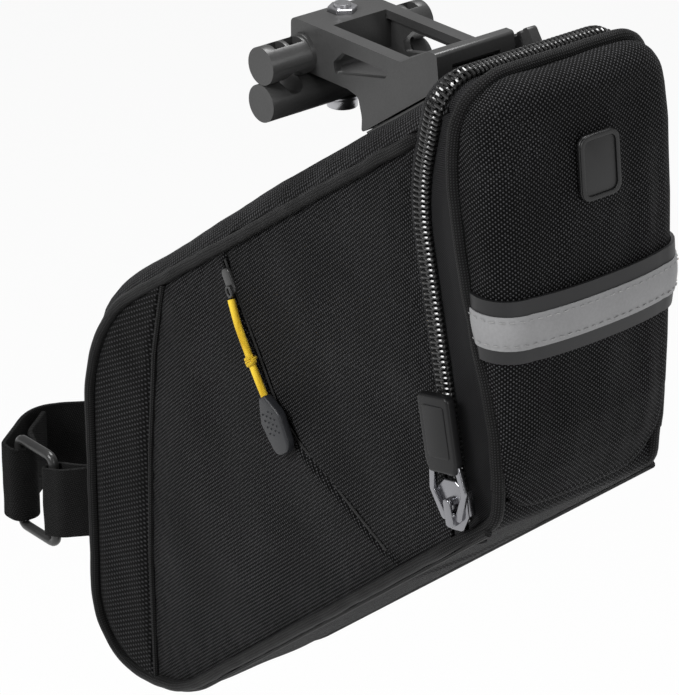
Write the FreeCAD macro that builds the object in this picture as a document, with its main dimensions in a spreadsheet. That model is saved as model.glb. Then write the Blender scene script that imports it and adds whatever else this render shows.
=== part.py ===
import FreeCAD, Part
import math
import os
from FreeCAD import Placement, Rotation, Vector

# Wedge saddle bag on a quick-release saddle-rail clip.
# Origin: midway between the two saddle-rail channels. +X rearward along the rails,
# +Y to the bag's right, +Z up. Millimetres.

doc = FreeCAD.newDocument("saddle_bag")
sheet = doc.addObject("Spreadsheet::Sheet", "sizes")

SIZES = [
    ("rail_spacing", 44.0, "saddle rail centre to centre"),
    ("rail_radius", 3.5, "saddle rail radius"),
    ("jaw_radius", 5.85, "radius of each round clamp jaw"),
    ("jaw_length", 63.0, "jaws, cap to cap"),
    ("jaw_gap", 0.1, "gap between the closed jaws"),
    ("jaw_travel", 4.0, "how far the lower jaw opens"),
    ("collar_radius", 6.5, "collar where a jaw meets the frame"),
    ("frame_width", 30.0, "clip frame, side wall to side wall outside"),
    ("frame_wall", 2.6, "clip side wall"),
    ("frame_top", 16.0, "top of the clip frame above the rails"),
    ("window_width", 20.6, "plan window in the clip frame"),
    ("bolt_radius", 2.5, "clamp bolt shank"),
    ("bolt_head_radius", 4.75, "clamp bolt head"),
    ("bolt_head_height", 2.8, "clamp bolt head"),
    ("washer_radius", 5.2, "clamp washer"),
    ("washer_height", 1.0, "clamp washer"),
    ("nut_flats", 8.0, "clamp nut across flats"),
    ("nut_height", 4.0, "clamp nut"),
    ("socket_flats", 3.0, "hex socket in the bolt head"),
    ("fit_clearance", 0.05, "running clearance of the bolt"),
    ("slide_clearance", 0.35, "clearance of sliding pieces"),
    ("top_slope", 35.2, "slope of the bag's top, degrees"),
    ("top_drop", 41.6, "top piping line below the origin at X = 0"),
    ("top_crown", 8.0, "top band above the top piping line"),
    ("bottom_slope", 40.0, "slope of the bag's bottom, degrees"),
    ("bottom_drop", 194.4, "bottom piping line below the origin at X = 0"),
    ("bottom_crown", 2.0, "front and bottom bands beyond the piping line"),
    ("front_reach", 103.0, "front piping line ahead of the origin"),
    ("bag_depth", 240.0, "lowest piping line below the origin"),
    ("band_thickness", 2.5, "padded fabric wall"),
    ("rear_half_width", 34.0, "half width of the body at taper_station"),
    ("taper_station", 90.0, "X where the half width is stated"),
    ("side_taper", 3.0, "each side panel narrows forward, degrees"),
    ("piping_diameter", 3.5, "fabric piping"),
    ("soft_clearance", 0.3, "gap between soft pieces"),
    ("zip_foot_x", 94.8, "closure zip, lower end"),
    ("zip_foot_z", -106.0, "closure zip, lower end"),
    ("zip_knee_x", 73.9, "closure zip, where it turns upright"),
    ("zip_knee_z", -10.0, "closure zip, where it turns upright"),
    ("zip_top_x", 82.0, "closure zip, top run"),
    ("zip_top_z", 26.5, "closure zip, top run"),
    ("coil_diameter", 3.2, "one half of the zip chain"),
    ("coil_gap", 1.6, "gap between the two halves of the chain"),
    ("tape_thickness", 0.9, "zip tape"),
    ("tape_body_width", 3.0, "zip tape on the body side"),
    ("cover_half_width", 35.0, "half width of the rear cover"),
    ("cover_top", 26.4, "top of the rear cover"),
    ("cover_foot_x", 105.8, "rear cover, lower front edge"),
    ("cover_foot_z", -96.0, "rear cover, lower front edge"),
    ("cover_crown", 7.0, "rear face set in at its two upright edges"),
    ("hinge_x", 107.0, "fold that the cover turns about"),
    ("hinge_z", -96.5, "fold that the cover turns about"),
    ("light_strap_height", 20.0, "backing strap on the rear cover"),
    ("reflector_height", 10.5, "reflective tape"),
    ("reflector_z", -41.0, "centre of the reflective tape"),
    ("badge_width", 15.0, "blank patch"),
    ("badge_height", 19.0, "blank patch"),
    ("badge_top", 11.0, "top edge of the blank patch"),
    ("rail_head_width", 18.0, "T-rail on the bag"),
    ("rail_web_width", 12.0, "T-rail on the bag"),
    ("rail_start", 42.0, "T-rail, lower end along the slope"),
    ("rail_end", 79.0, "T-rail, upper end along the slope"),
    ("bag_travel", 40.0, "how far the bag slides off the clip"),
    ("button_travel", 2.4, "release button stroke"),
    ("screw_radius", 1.9, "bracket screws"),
    ("strap_width", 28.0, "seatpost strap"),
    ("strap_thickness", 1.6, "seatpost strap"),
    ("strap_z", -192.5, "centre of the seatpost strap"),
    ("ring_height", 37.0, "rectangular ring"),
    ("ring_bar", 3.2, "bar of the rectangular ring"),
    ("ring_front_x", -143.5, "front bar of the ring"),
    ("ring_rear_x", -123.2, "rear bar of the ring"),
    ("ring_y", -25.0, "plane of the ring"),
    ("slider_length", 16.0, "closure slider"),
    ("slider_width", 12.6, "closure slider"),
    ("slider_z", -100.0, "closure slider at rest"),
    ("bail_wire", 1.8, "wire of the slider's bail"),
    ("tab_width", 13.4, "moulded pull tab"),
    ("tab_length", 24.0, "moulded pull tab"),
    ("tab_thickness", 3.0, "moulded pull tab"),
    ("cord_diameter", 2.4, "pull cord of the pocket"),
    ("grip_length", 18.0, "moulded grip on the pull cord"),
    ("grip_width", 10.5, "moulded grip on the pull cord"),
    ("grip_thickness", 3.6, "moulded grip on the pull cord"),
]

for row, (alias, value, note) in enumerate(SIZES, 1):
    sheet.set(f"A{row}", alias)
    sheet.set(f"B{row}", str(value))
    sheet.setAlias(f"B{row}", alias)
    sheet.set(f"C{row}", note)
doc.recompute()

NODES = []
BIG = 400.0


def size(alias):
    return float(sheet.get(alias))


def keep(thing, label):
    """Marks an object as a sub-part under its node name."""
    thing.Label = label
    NODES.append(thing)
    return thing


# ---------------------------------------------------------------- outlines

def rounded(points):
    """Closed outline through (a, b, radius) corners: lines and tangent arcs."""
    corners = []
    count = len(points)
    for i, (a, b, radius) in enumerate(points):
        here = Vector(a, b, 0)
        before = Vector(*points[i - 1][:2], 0)
        after = Vector(*points[(i + 1) % count][:2], 0)
        corners.append(corner_arc(before, here, after, radius))
    edges = []
    for i in range(count):
        if corners[i][2] is not None:
            edges.append(corners[i][2])
        start = corners[i][1]
        end = corners[(i + 1) % count][0]
        if start.distanceToPoint(end) > 1e-6:
            edges.append(Part.LineSegment(start, end))
    return edges


def corner_arc(before, here, after, radius):
    """Start, end and arc of the tangent arc at one corner."""
    to_before = (before - here).normalize()
    to_after = (after - here).normalize()
    half = to_before.getAngle(to_after) / 2
    if radius <= 0 or abs(half - math.pi / 2) < 1e-4:
        return here, here, None
    reach = radius / math.tan(half)
    start = here + to_before * reach
    end = here + to_after * reach
    middle = (to_before + to_after).normalize()
    top = here + middle * (radius / math.sin(half) - radius)
    return start, end, Part.Arc(start, top, end)


def route(points, radii=None, share=0.45):
    """Open wire of straight runs joined by tangent arcs, as large as the runs allow."""
    spots = [Vector(*p) for p in points]
    edges = []
    last = spots[0]
    for i in range(1, len(spots) - 1):
        here = spots[i]
        shorter = min((here - spots[i - 1]).Length, (spots[i + 1] - here).Length)
        to_before = (spots[i - 1] - here).normalize()
        half = to_before.getAngle(spots[i + 1] - here) / 2
        radius = share * shorter * math.tan(half)
        if radii is not None:
            radius = radii[i - 1]
        start, end, arc = corner_arc(spots[i - 1], here, spots[i + 1], radius)
        if start.distanceToPoint(last) > 1e-6:
            edges.append(Part.LineSegment(last, start).toShape())
        edges.append(arc.toShape())
        last = end
    edges.append(Part.LineSegment(last, spots[-1]).toShape())
    return Part.Wire(edges)


def tube(points, diameter, radii=None):
    """Round tube along a route."""
    path = route(points, radii)
    first = path.Edges[0]
    start = first.valueAt(first.FirstParameter)
    heading = first.tangentAt(first.FirstParameter)
    ring = Part.Wire([Part.Circle(start, heading, diameter / 2).toShape()])
    return path.makePipeShell([ring], True, False)


def ribbon(points, thickness, low, high, radii):
    """Upright band of even thickness along a route in the XY plane."""
    flat = [(x, y, low) for x, y in points]
    path = route(flat, radii)
    side_a = path.makeOffset2D(thickness / 2, 0, False, True, False)
    side_b = path.makeOffset2D(-thickness / 2, 0, False, True, False)
    ends_a = [v.Point for v in side_a.OrderedVertexes]
    ends_b = [v.Point for v in side_b.OrderedVertexes]
    if ends_a[0].distanceToPoint(ends_b[0]) > thickness * 1.5:
        ends_b.reverse()
    caps = [
        Part.LineSegment(ends_a[0], ends_b[0]).toShape(),
        Part.LineSegment(ends_a[-1], ends_b[-1]).toShape(),
    ]
    loop = Part.Wire(Part.__sortEdges__(side_a.Edges + side_b.Edges + caps))
    return Part.Face(loop).extrude(Vector(0, 0, high - low))


def cross(p, p_angle, q, q_angle):
    """Point where the line through p at p_angle meets the line through q at q_angle."""
    ax, az = math.cos(math.radians(p_angle)), math.sin(math.radians(p_angle))
    bx, bz = math.cos(math.radians(q_angle)), math.sin(math.radians(q_angle))
    t = ((q[0] - p[0]) * bz - (q[1] - p[1]) * bx) / (ax * bz - az * bx)
    return p[0] + t * ax, p[1] + t * az


def slope(along, above):
    """(X, Z) of a point on the bag's top: distance along the slope and above it."""
    angle = math.radians(size("top_slope"))
    x = along * math.cos(angle) - above * math.sin(angle)
    z = -size("top_drop") + along * math.sin(angle) + above * math.cos(angle)
    return x, z


def half_width(x):
    """Half width of the tapered body at X."""
    taper = math.tan(math.radians(size("side_taper")))
    return size("rear_half_width") - (size("taper_station") - x) * taper


# ------------------------------------------------------- solids made in code

def prism_y(outline, low=-BIG, high=BIG):
    """Solid of an XZ outline between two Y values."""
    wire = Part.Wire(Part.__sortEdges__([edge.toShape() for edge in rounded(outline)]))
    solid = Part.Face(wire).extrude(Vector(0, 0, high - low))
    solid.rotate(Vector(0, 0, 0), Vector(1, 0, 0), 90)
    solid.translate(Vector(0, high, 0))
    return solid


def prism_x(outline, low, high):
    """Solid of a YZ outline between two X values."""
    wire = Part.Wire(Part.__sortEdges__([edge.toShape() for edge in rounded(outline)]))
    solid = Part.Face(wire).extrude(Vector(0, 0, high - low))
    solid.rotate(Vector(0, 0, 0), Vector(1, 1, 1), 120)
    solid.translate(Vector(low, 0, 0))
    return solid


def prism_z(outline, low=-BIG, high=BIG):
    """Solid of an XY outline between two Z values."""
    wire = Part.Wire(Part.__sortEdges__([edge.toShape() for edge in rounded(outline)]))
    solid = Part.Face(wire).extrude(Vector(0, 0, high - low))
    solid.translate(Vector(0, 0, low))
    return solid


def feature(label, shape):
    """Part::Feature of one solid, or of a group of equal solids."""
    thing = doc.addObject("Part::Feature", label)
    solids = shape.Solids
    thing.Shape = solids[0] if len(solids) == 1 else Part.makeCompound(solids)
    return keep(thing, label)


def move(thing, placement):
    """Puts a finished feature somewhere else, on top of where its solid already is."""
    thing.Placement = placement.multiply(thing.Placement)


# ------------------------------------------------- PartDesign building blocks

def new_body(label):
    return keep(doc.addObject("PartDesign::Body", label), label)


def plane_of(body, role):
    return [p for p in body.Origin.OriginFeatures if p.Role == role][0]


def sketch(body, role, edges, offset=0.0):
    """Sketch of closed loops on one of the body's own origin planes."""
    item = body.newObject("Sketcher::SketchObject", "outline")
    item.AttachmentSupport = [(plane_of(body, role), "")]
    item.MapMode = "FlatFace"
    item.AttachmentOffset = Placement(Vector(0, 0, offset), Rotation())
    item.addGeometry(edges, False)
    return item


def bind(item, prop, expression):
    item.setExpression(prop, expression)


def pad(body, role, edges, length, offset=0.0, symmetric=True):
    """Pad of a sketch; length is an expression on the sheet."""
    item = body.newObject("PartDesign::Pad", "pad")
    item.Profile = sketch(body, role, edges, offset)
    item.SideType = "Symmetric" if symmetric else "One side"
    bind(item, "Length", length)
    return item


def pocket(body, role, edges, length, offset=0.0):
    """Symmetric pocket of a sketch; it has to take material away."""
    doc.recompute()
    before = body.Shape.Volume
    item = body.newObject("PartDesign::Pocket", "pocket")
    item.Profile = sketch(body, role, edges, offset)
    item.SideType = "Symmetric"
    bind(item, "Length", length)
    doc.recompute()
    if not body.Shape.Volume < before - 1e-3:
        raise RuntimeError("pocket cuts nothing in " + body.Label)
    return item


def circle(a, b, radius):
    return [Part.Circle(Vector(a, b, 0), Vector(0, 0, 1), radius)]


def box_loop(a0, a1, b0, b1, radius=0.0):
    return rounded([(a0, b0, radius), (a1, b0, radius), (a1, b1, radius), (a0, b1, radius)])


def hexagon(a, b, flats):
    reach = flats / math.sqrt(3)
    corners = []
    for k in range(6):
        turn = math.radians(60 * k)
        corners.append((a + reach * math.cos(turn), b + reach * math.sin(turn), 0))
    return rounded(corners)


# ------------------------------------------------------------- saddle clip

def jaw_channels(body):
    """Half-round channels for the two saddle rails."""
    for side in (-1, 1):
        y = side * size("rail_spacing") / 2
        pocket(body, "YZ_Plane", circle(y, 0, size("rail_radius")), "sizes.jaw_radius * 4")


def clip_body():
    body = new_body("clip_body")
    top = size("frame_top")
    foot = size("top_crown") + 1.6
    wall = [
        (-6.0, top, 2.0), (43.4, top, 4.0), (55.6, 22.8, 1.5), (58.9, 22.8, 1.2),
        (*slope(80.5, foot), 0.6), (*slope(39.0, foot), 0.6),
        (26.6, -6.5, 8.0), (24.8, -0.4, 2.5), (20.0, 0.6, 0), (-6.0, 0.6, 0.5),
    ]
    pad(body, "XZ_Plane", rounded(wall), "sizes.frame_width")
    jaw_axis = size("jaw_radius") + size("jaw_gap") / 2
    pad(body, "XZ_Plane", circle(0, jaw_axis, size("jaw_radius")), "sizes.jaw_length")
    pad(body, "XZ_Plane", circle(0, jaw_axis + 0.6, size("collar_radius") - 0.6),
        "sizes.frame_width + 3")
    # hollow of the frame, under the rim
    floor = size("top_crown") + 8.6
    hollow = [
        (8.0, 2.8, 1), (8.0, 13.4, 1), (43.0, 13.4, 2), (52.6, 18.6, 1),
        (*slope(79.5, floor), 1), (*slope(46.0, floor), 2), (25.0, 2.8, 2),
    ]
    pocket(body, "XZ_Plane", rounded(hollow), "sizes.frame_width - 2 * sizes.frame_wall")
    # plan window between the two arms
    pocket(body, "XZ_Plane", box_loop(8.0, 42.0, 12.0, top + 1), "sizes.window_width")
    # wedge-shaped windows in the side walls
    window = [
        (14.4, 3.8, 0.8), (13.5, 7.1, 1.5), (17.6, 11.3, 2.0),
        (38.4, 11.3, 0.6), (36.8, 8.9, 0.8),
    ]
    pocket(body, "XZ_Plane", rounded(window), "sizes.frame_width + 2")
    # T-slot that the bag's rail slides in
    gap = size("slide_clearance")
    slot_start = size("rail_start") - 0.4
    web_top = size("top_crown") + 4.2
    head_top = web_top + 2.4
    for low, high, width in (
        (foot - 1.0, web_top, "sizes.rail_web_width + 2 * sizes.slide_clearance"),
        (web_top - gap, head_top + gap, "sizes.rail_head_width + 2 * sizes.slide_clearance"),
    ):
        slot = [(*slope(s, n), 0) for s, n in
                ((slot_start, low), (100.0, low), (100.0, high), (slot_start, high))]
        pocket(body, "XZ_Plane", rounded(slot), width)
    # slots in the tops of the two stubs, each with one cross rib
    for near, far in ((17.5, 22.6), (24.0, 28.0)):
        for side in (-1, 1):
            a, b = sorted((side * near, side * far))
            pocket(body, "YZ_Plane", box_loop(a, b, jaw_axis + 1.6, jaw_axis + 7.0, 0.4), "5.2")
    # bolt hole, nut seat and button hole
    pocket(body, "XY_Plane", circle(0, 0, size("bolt_radius") + size("fit_clearance") + 0.1), "60")
    nut_low = top - 2.6
    pocket(body, "XY_Plane", hexagon(0, 0, size("nut_flats") + 0.2), "5.2", offset=nut_low + 2.6)
    jaw_channels(body)
    button_hole(body)
    return body


BUTTON_AT = (74.0, 14.2)


def button_hole(body):
    """Round hole through the right-hand wall for the release button's stem."""
    doc.recompute()
    before = body.Shape.Volume
    item = body.newObject("PartDesign::Pocket", "pocket")
    x, z = slope(*BUTTON_AT)
    item.Profile = sketch(body, "XZ_Plane", circle(x, z, 2.0 + 0.3), -size("frame_width") / 2 - 1)
    item.SideType = "One side"
    bind(item, "Length", "6")
    doc.recompute()
    if not body.Shape.Volume < before - 1e-3:
        item.Reversed = True
        doc.recompute()
    if not body.Shape.Volume < before - 1e-3:
        raise RuntimeError("button hole cuts nothing")


def lower_jaw():
    body = new_body("lower_jaw")
    jaw_axis = -size("jaw_radius") - size("jaw_gap") / 2
    pad(body, "XZ_Plane", circle(0, jaw_axis, size("jaw_radius")), "sizes.jaw_length")
    jaw_channels(body)
    pocket(body, "XY_Plane", circle(0, 0, size("bolt_radius") + 0.15), "60")
    # flat seat for the washer
    seat = jaw_axis - size("jaw_radius") + 1.2
    pocket(body, "XZ_Plane", box_loop(-7, 7, seat - 3, seat), "2 * sizes.washer_radius + 1")
    return seat


def clamp_fasteners(seat):
    """Washer, button-head bolt under the lower jaw, nut on top of the clip."""
    washer = new_body("clamp_washer")
    washer_low = seat - size("washer_height")
    pad(washer, "XY_Plane", circle(0, 0, size("washer_radius")), "sizes.washer_height",
        offset=washer_low + size("washer_height") / 2)
    pocket(washer, "XY_Plane", circle(0, 0, size("bolt_radius") + 0.15), "60")

    bolt = new_body("clamp_bolt")
    head_low = washer_low - size("bolt_head_height")
    pad(bolt, "XY_Plane", circle(0, 0, size("bolt_head_radius")), "sizes.bolt_head_height",
        offset=head_low + size("bolt_head_height") / 2)
    shank_top = size("frame_top") + 2.4
    shank = pad(bolt, "XY_Plane", circle(0, 0, size("bolt_radius")),
                f"{shank_top - washer_low:.3f}", offset=(shank_top + washer_low) / 2)
    doc.recompute()
    pocket(bolt, "XY_Plane", hexagon(0, 0, size("socket_flats")), "3", offset=head_low)

    nut = new_body("clamp_nut")
    nut_low = size("frame_top") - 2.6
    pad(nut, "XY_Plane", hexagon(0, 0, size("nut_flats")), "sizes.nut_height",
        offset=nut_low + size("nut_height") / 2)
    pocket(nut, "XY_Plane", circle(0, 0, size("bolt_radius") + size("fit_clearance")), "60")


def release_button():
    """Paddle on the right-hand side, on a round stem, with its return spring."""
    x, z = slope(*BUTTON_AT)
    wall = size("frame_width") / 2
    inner = wall + size("button_travel") + 0.4
    outer = inner + 3.4
    paddle = [(*slope(s, n), 1.2) for s, n in ((66.5, 11.0), (88.0, 11.0), (88.0, 18.2), (66.5, 18.2))]
    solid = prism_y(paddle, inner, outer)
    for k in range(3):
        notch = [(*slope(s, n), 0) for s, n in (
            (78.0 + 3.2 * k, 17.4), (79.4 + 3.2 * k, 17.4), (79.4 + 3.2 * k, 19.0), (78.0 + 3.2 * k, 19.0))]
        solid = solid.cut(prism_y(notch, inner - 1, outer + 1))
    stem_start = wall - 2.6
    stem = Part.makeCylinder(2.0, inner - stem_start + 1, Vector(x, stem_start, z), Vector(0, 1, 0))
    feature("release_button", solid.fuse(stem).removeSplitter())
    gap = 0.1
    spring = Part.makeCylinder(3.4, inner - wall - 2 * gap, Vector(x, wall + gap, z), Vector(0, 1, 0))
    bore = Part.makeCylinder(2.3, 20, Vector(x, wall - 5, z), Vector(0, 1, 0))
    feature("button_spring", spring.cut(bore))


# ----------------------------------------------------------- bracket on the bag

def bracket():
    """T-rail on the bag's top, plate inside, and the screws between them."""
    top = size("top_crown")
    base_low = top + 0.05
    base_high = top + 1.2
    web_high = top + 4.2
    head_high = web_high + 2.4
    start = size("rail_start")
    end = size("rail_end")

    rail = new_body("bracket_rail")
    half_base = size("frame_width") / 2 - 1.0
    levels = (
        (base_low, base_high, f"{2 * half_base:.3f}", start - 2.0, end),
        (base_high - 0.1, web_high + 0.1, "sizes.rail_web_width", start, end),
        (web_high, head_high, "sizes.rail_head_width", start, end),
    )
    for low, high, width, s0, s1 in levels:
        loop = [(*slope(s, n), 0) for s, n in ((s0, low), (s1, low), (s1, high), (s0, high))]
        pad(rail, "XZ_Plane", rounded(loop), width)
    doc.recompute()

    plate_high = top - size("band_thickness") - 0.05
    plate_low = plate_high - 2.0
    plate = new_body("stiffener_plate")
    loop = [(*slope(s, n), 0.5) for s, n in
            ((30, plate_low), (86, plate_low), (86, plate_high), (30, plate_high))]
    pad(plate, "XZ_Plane", rounded(loop), "44")
    doc.recompute()

    # three screws from inside, square to the slope
    radius = size("screw_radius")
    clear = radius + 0.08
    angle = math.radians(size("top_slope"))
    square = Vector(-math.sin(angle), 0, math.cos(angle))
    screws = []
    holes = []
    for s in (48.0, 60.5, 73.0):
        x, z = slope(s, plate_low - 1.4)
        base = Vector(x, 0, z)
        length = head_high - plate_low - 0.4
        head = Part.makeCylinder(3.6, 1.3, base, square)
        shank = Part.makeCylinder(radius, length, base + square * 1.3, square)
        screws.append(head.fuse(shank).removeSplitter())
        holes.append(Part.makeCylinder(clear, 30, base - square * 2, square))
    feature("bracket_screws", Part.makeCompound(screws))
    for body in (rail, plate):
        drilled(body, holes)
    return holes


def drilled(body, holes):
    """Screw holes: the body's tip keeps its features, and a cut carries the label."""
    label = body.Label
    NODES.remove(body)
    body.Label = label + "_blank"
    tool = doc.addObject("Part::Feature", label + "_holes")
    tool.Shape = Part.makeCompound(holes)
    cut = doc.addObject("Part::Cut", label + "_drilled")
    cut.Base = body
    cut.Tool = tool
    keep(cut, label)


# ------------------------------------------------------------- fabric body

def zip_x(z):
    """X of the closure zip at a height."""
    foot = (size("zip_foot_x"), size("zip_foot_z"))
    knee = (size("zip_knee_x"), size("zip_knee_z"))
    top = (size("zip_top_x"), size("zip_top_z"))
    low, high = (foot, knee) if z < knee[1] else (knee, top)
    return low[0] + (high[0] - low[0]) * (z - low[1]) / (high[1] - low[1])


def zip_strip(near, far, low_z, high_z):
    """XZ strip that follows the zip, between two distances behind it."""
    knee = size("zip_knee_z")
    return [
        (zip_x(low_z) + near, low_z, 0), (zip_x(low_z) + far, low_z, 0),
        (zip_x(knee) + far, knee, KNEE_RADIUS), (zip_x(high_z) + far, high_z, 0),
        (zip_x(high_z) + near, high_z, 0), (zip_x(knee) + near, knee, KNEE_RADIUS),
    ]


def band_corners(inset):
    """Corners of the body's outline, set in from its outer surface."""
    top = slope(0, size("top_crown") - inset)
    front = (-size("front_reach") - size("bottom_crown") + inset, 0)
    base = (0, -size("bag_depth") - size("bottom_crown") + inset)
    drop = (size("bottom_crown") - inset) / math.cos(math.radians(size("bottom_slope")))
    under = (0, -size("bottom_drop") - drop)
    top_front = cross(top, size("top_slope"), front, 90)
    low_front = (front[0], base[1])
    low_rear = cross(base, 0, under, size("bottom_slope"))
    heel = cross((size("hinge_x") + 0.5 - inset, 0), 90, under, size("bottom_slope"))
    return top_front, low_front, low_rear, heel


def side_slab(inner, outer, side):
    """Upright slab that follows one tapered side, between two distances outside it."""
    x0, x1 = -170.0, 130.0
    outline = [
        (x0, side * (half_width(x0) + inner), 0), (x1, side * (half_width(x1) + inner), 0),
        (x1, side * (half_width(x1) + outer), 0), (x0, side * (half_width(x0) + outer), 0),
    ]
    return prism_z(outline)


def full_slab(outer):
    x0, x1 = -170.0, 130.0
    return prism_z([
        (x0, -half_width(x0) - outer, 0), (x1, -half_width(x1) - outer, 0),
        (x1, half_width(x1) + outer, 0), (x0, half_width(x0) + outer, 0),
    ])


SEAM_Z = -215.0
TAPE_GAP = 4.4
KNEE_RADIUS = 60.0
FRONT_RADIUS = 70.0
TOE_RADIUS = 26.0
HEEL_RADIUS = 62.0


def gussets(holes):
    """Top and front band, and the bottom panel round the lower corners."""
    wall = size("band_thickness")
    outer = band_corners(0)
    inner = band_corners(wall)
    crown = size("top_crown")
    end_z = size("zip_top_z")
    end_low = end_z - wall - 0.6
    end_x = zip_x(end_low) - TAPE_GAP - size("tape_body_width") - size("soft_clearance")
    top_loop = [
        (end_x, end_z, 0.5), (*slope(92.0, crown), 20), (*outer[0], FRONT_RADIUS),
        (outer[0][0], SEAM_Z, 0), (inner[0][0], SEAM_Z, 0), (*inner[0], FRONT_RADIUS - wall),
        (*slope(91.0, crown - wall), 12), (end_x, end_low, 0.5),
    ]
    band = prism_y(top_loop).common(full_slab(-size("soft_clearance")))
    for hole in holes:
        band = band.cut(hole)
    feature("top_gusset", band)
    gap = 0.2
    heel_z = size("hinge_z") - 0.3
    low_loop = [
        (outer[1][0], SEAM_Z - gap, 0), (*outer[1], TOE_RADIUS), (*outer[2], HEEL_RADIUS),
        (*outer[3], 5), (outer[3][0], heel_z, 0), (inner[3][0], heel_z, 0), (*inner[3], 5 - wall),
        (*inner[2], HEEL_RADIUS - wall), (*inner[1], TOE_RADIUS - wall), (inner[1][0], SEAM_Z - gap, 0),
    ]
    feature("bottom_panel", prism_y(low_loop).common(full_slab(-size("soft_clearance"))))


def side_outline(inset, rear_gap):
    """Side panel outline, inside the bands and ahead of the zip tape."""
    corners = band_corners(size("band_thickness") + inset)
    knee = (size("zip_knee_x") - rear_gap, size("zip_knee_z"))
    lean = math.degrees(math.atan2(size("zip_top_z") - knee[1], size("zip_top_x") - size("zip_knee_x")))
    top_rear = cross(slope(0, size("top_crown") - size("band_thickness") - inset),
                     size("top_slope"), knee, lean)
    foot = (size("zip_foot_x") - rear_gap, size("zip_foot_z"))
    under_angle = size("bottom_slope")
    low_rear = cross(corners[3], under_angle, foot,
                     math.degrees(math.atan2(knee[1] - foot[1], knee[0] - foot[0])))
    trim = size("band_thickness") + inset
    return [
        (*corners[0], FRONT_RADIUS - trim), (*corners[1], TOE_RADIUS - trim),
        (*corners[2], HEEL_RADIUS - trim), (*low_rear, 4), (*knee, KNEE_RADIUS), (*top_rear, 0),
    ]


def side_panels():
    gap = size("soft_clearance")
    rear_gap = TAPE_GAP + size("tape_body_width") + gap
    wall = size("band_thickness")
    for name, side in (("left", -1), ("right", 1)):
        plate = prism_y(side_outline(gap, rear_gap)).common(side_slab(-wall, 0, side))
        feature("side_panel_" + name, plate)


def piping_points(side):
    """Centre line of the piping round one side, on the panel's outer face."""
    r = size("piping_diameter") / 2
    top = slope(0, -r)
    front = (-size("front_reach") + r, 0)
    base = (0, -size("bag_depth") + r)
    under = (0, -size("bottom_drop") + r / math.cos(math.radians(size("bottom_slope"))))
    rear_top = slope(82.5, -r)
    corners = [
        rear_top,
        cross(top, size("top_slope"), front, 90),
        (front[0], base[1]),
        cross(base, 0, under, size("bottom_slope")),
    ]
    end_x = 99.0
    corners.append((end_x, under[1] + end_x * math.tan(math.radians(size("bottom_slope")))))
    out = 0.1 + r
    return [(x, side * (half_width(x) + out), z) for x, z in corners]


def pipings():
    for name, side in (("left", -1), ("right", 1)):
        solid = tube(piping_points(side), size("piping_diameter"), [63.0, 22.0, 58.0])
        feature("piping_" + name, solid)


def trims():
    """Mesh crescent at the front of each side panel, inside the piping."""
    inset = size("piping_diameter") + 0.5
    front = -size("front_reach") + inset
    base = -size("bag_depth") + inset + 8
    top_line = slope(0, -inset)
    corner = cross(top_line, size("top_slope"), (front, 0), 90)
    top_at = cross(top_line, size("top_slope"), (-58.0, 0), 90)
    outline = [(*top_at, 0), (*corner, 60), (front, base, 24), (-66.0, base, 0), (-67.5, -170.0, 160)]
    for name, side in (("left", -1), ("right", 1)):
        feature("trim_" + name, prism_y(outline).common(side_slab(0.1, 0.8, side)))


# -------------------------------------------------------------- closure zip

def arch(half, top, thickness, radius, low_z, x0, x1):
    """Upside-down U of sheet, seen from behind, between two X values."""
    outer = [(-half, low_z, 0), (-half, top, radius), (half, top, radius), (half, low_z, 0)]
    inner_half = half - thickness
    inner = [(-inner_half, low_z - 1, 0), (-inner_half, top - thickness, radius - thickness),
             (inner_half, top - thickness, radius - thickness), (inner_half, low_z - 1, 0)]
    return prism_x(outer, x0, x1).cut(prism_x(inner, x0 - 1, x1 + 1))


COVER_COIL_FOOT = -91.0


def zip_points(shift, foot_z):
    """Centre line of one half of the chain, up one side, over and down the other."""
    half = size("rear_half_width") + 0.3
    foot = (zip_x(foot_z), foot_z)
    knee = (size("zip_knee_x"), size("zip_knee_z"))
    top = (size("zip_top_x"), size("zip_top_z"))
    up = [(foot, -half), (knee, -half), (top, -half)]
    down = [(top, half), (knee, half), (foot, half)]
    return [(p[0] + shift, y, p[1]) for p, y in up + down]


def closure_zip():
    shift = (size("coil_diameter") + size("coil_gap")) / 2
    radii = [KNEE_RADIUS, 11.0, 11.0, KNEE_RADIUS]
    low = size("zip_foot_z")
    feature("zip_coil_body", tube(zip_points(-shift, low), size("coil_diameter"), radii))
    # the cover's half stops above the hinge, so that it lifts out of the slider as the cover opens
    feature("zip_coil_cover", tube(zip_points(shift, COVER_COIL_FOOT), size("coil_diameter"), radii))
    half = size("rear_half_width")
    thick = size("tape_thickness")
    top = size("zip_top_z") + 0.4
    shell = arch(half, top, thick, 11.5, -125.0, 55.0, 105.0)
    low = size("zip_foot_z")
    body_strip = prism_y(zip_strip(-TAPE_GAP - size("tape_body_width"), -TAPE_GAP, low, top + 2))
    feature("zip_tape_body", shell.common(body_strip))
    rim = cover_front(-size("soft_clearance"))
    foot_z = size("cover_foot_z") + 0.5
    cover_strip = prism_y([
        (zip_x(foot_z) + TAPE_GAP, foot_z, 0), (rim[0][0] - 0.2, foot_z, 0), (*rim[1], 0),
        (rim[2][0], top + 2, 0), (zip_x(top + 2) + TAPE_GAP, top + 2, 0),
        (size("zip_knee_x") + TAPE_GAP, size("zip_knee_z"), KNEE_RADIUS),
    ])
    feature("zip_tape_cover", shell.common(cover_strip))
    stops = []
    for side in (-1, 1):
        x = size("zip_foot_x") - shift
        y = side * (half + 0.3)
        stops.append(Part.makeBox(3.4, 3.4, 2.0, Vector(x - 1.7, y - 1.7, low - 2.3)))
    feature("zip_stops", Part.makeCompound(stops))


# --------------------------------------------------------------- rear cover

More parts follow.
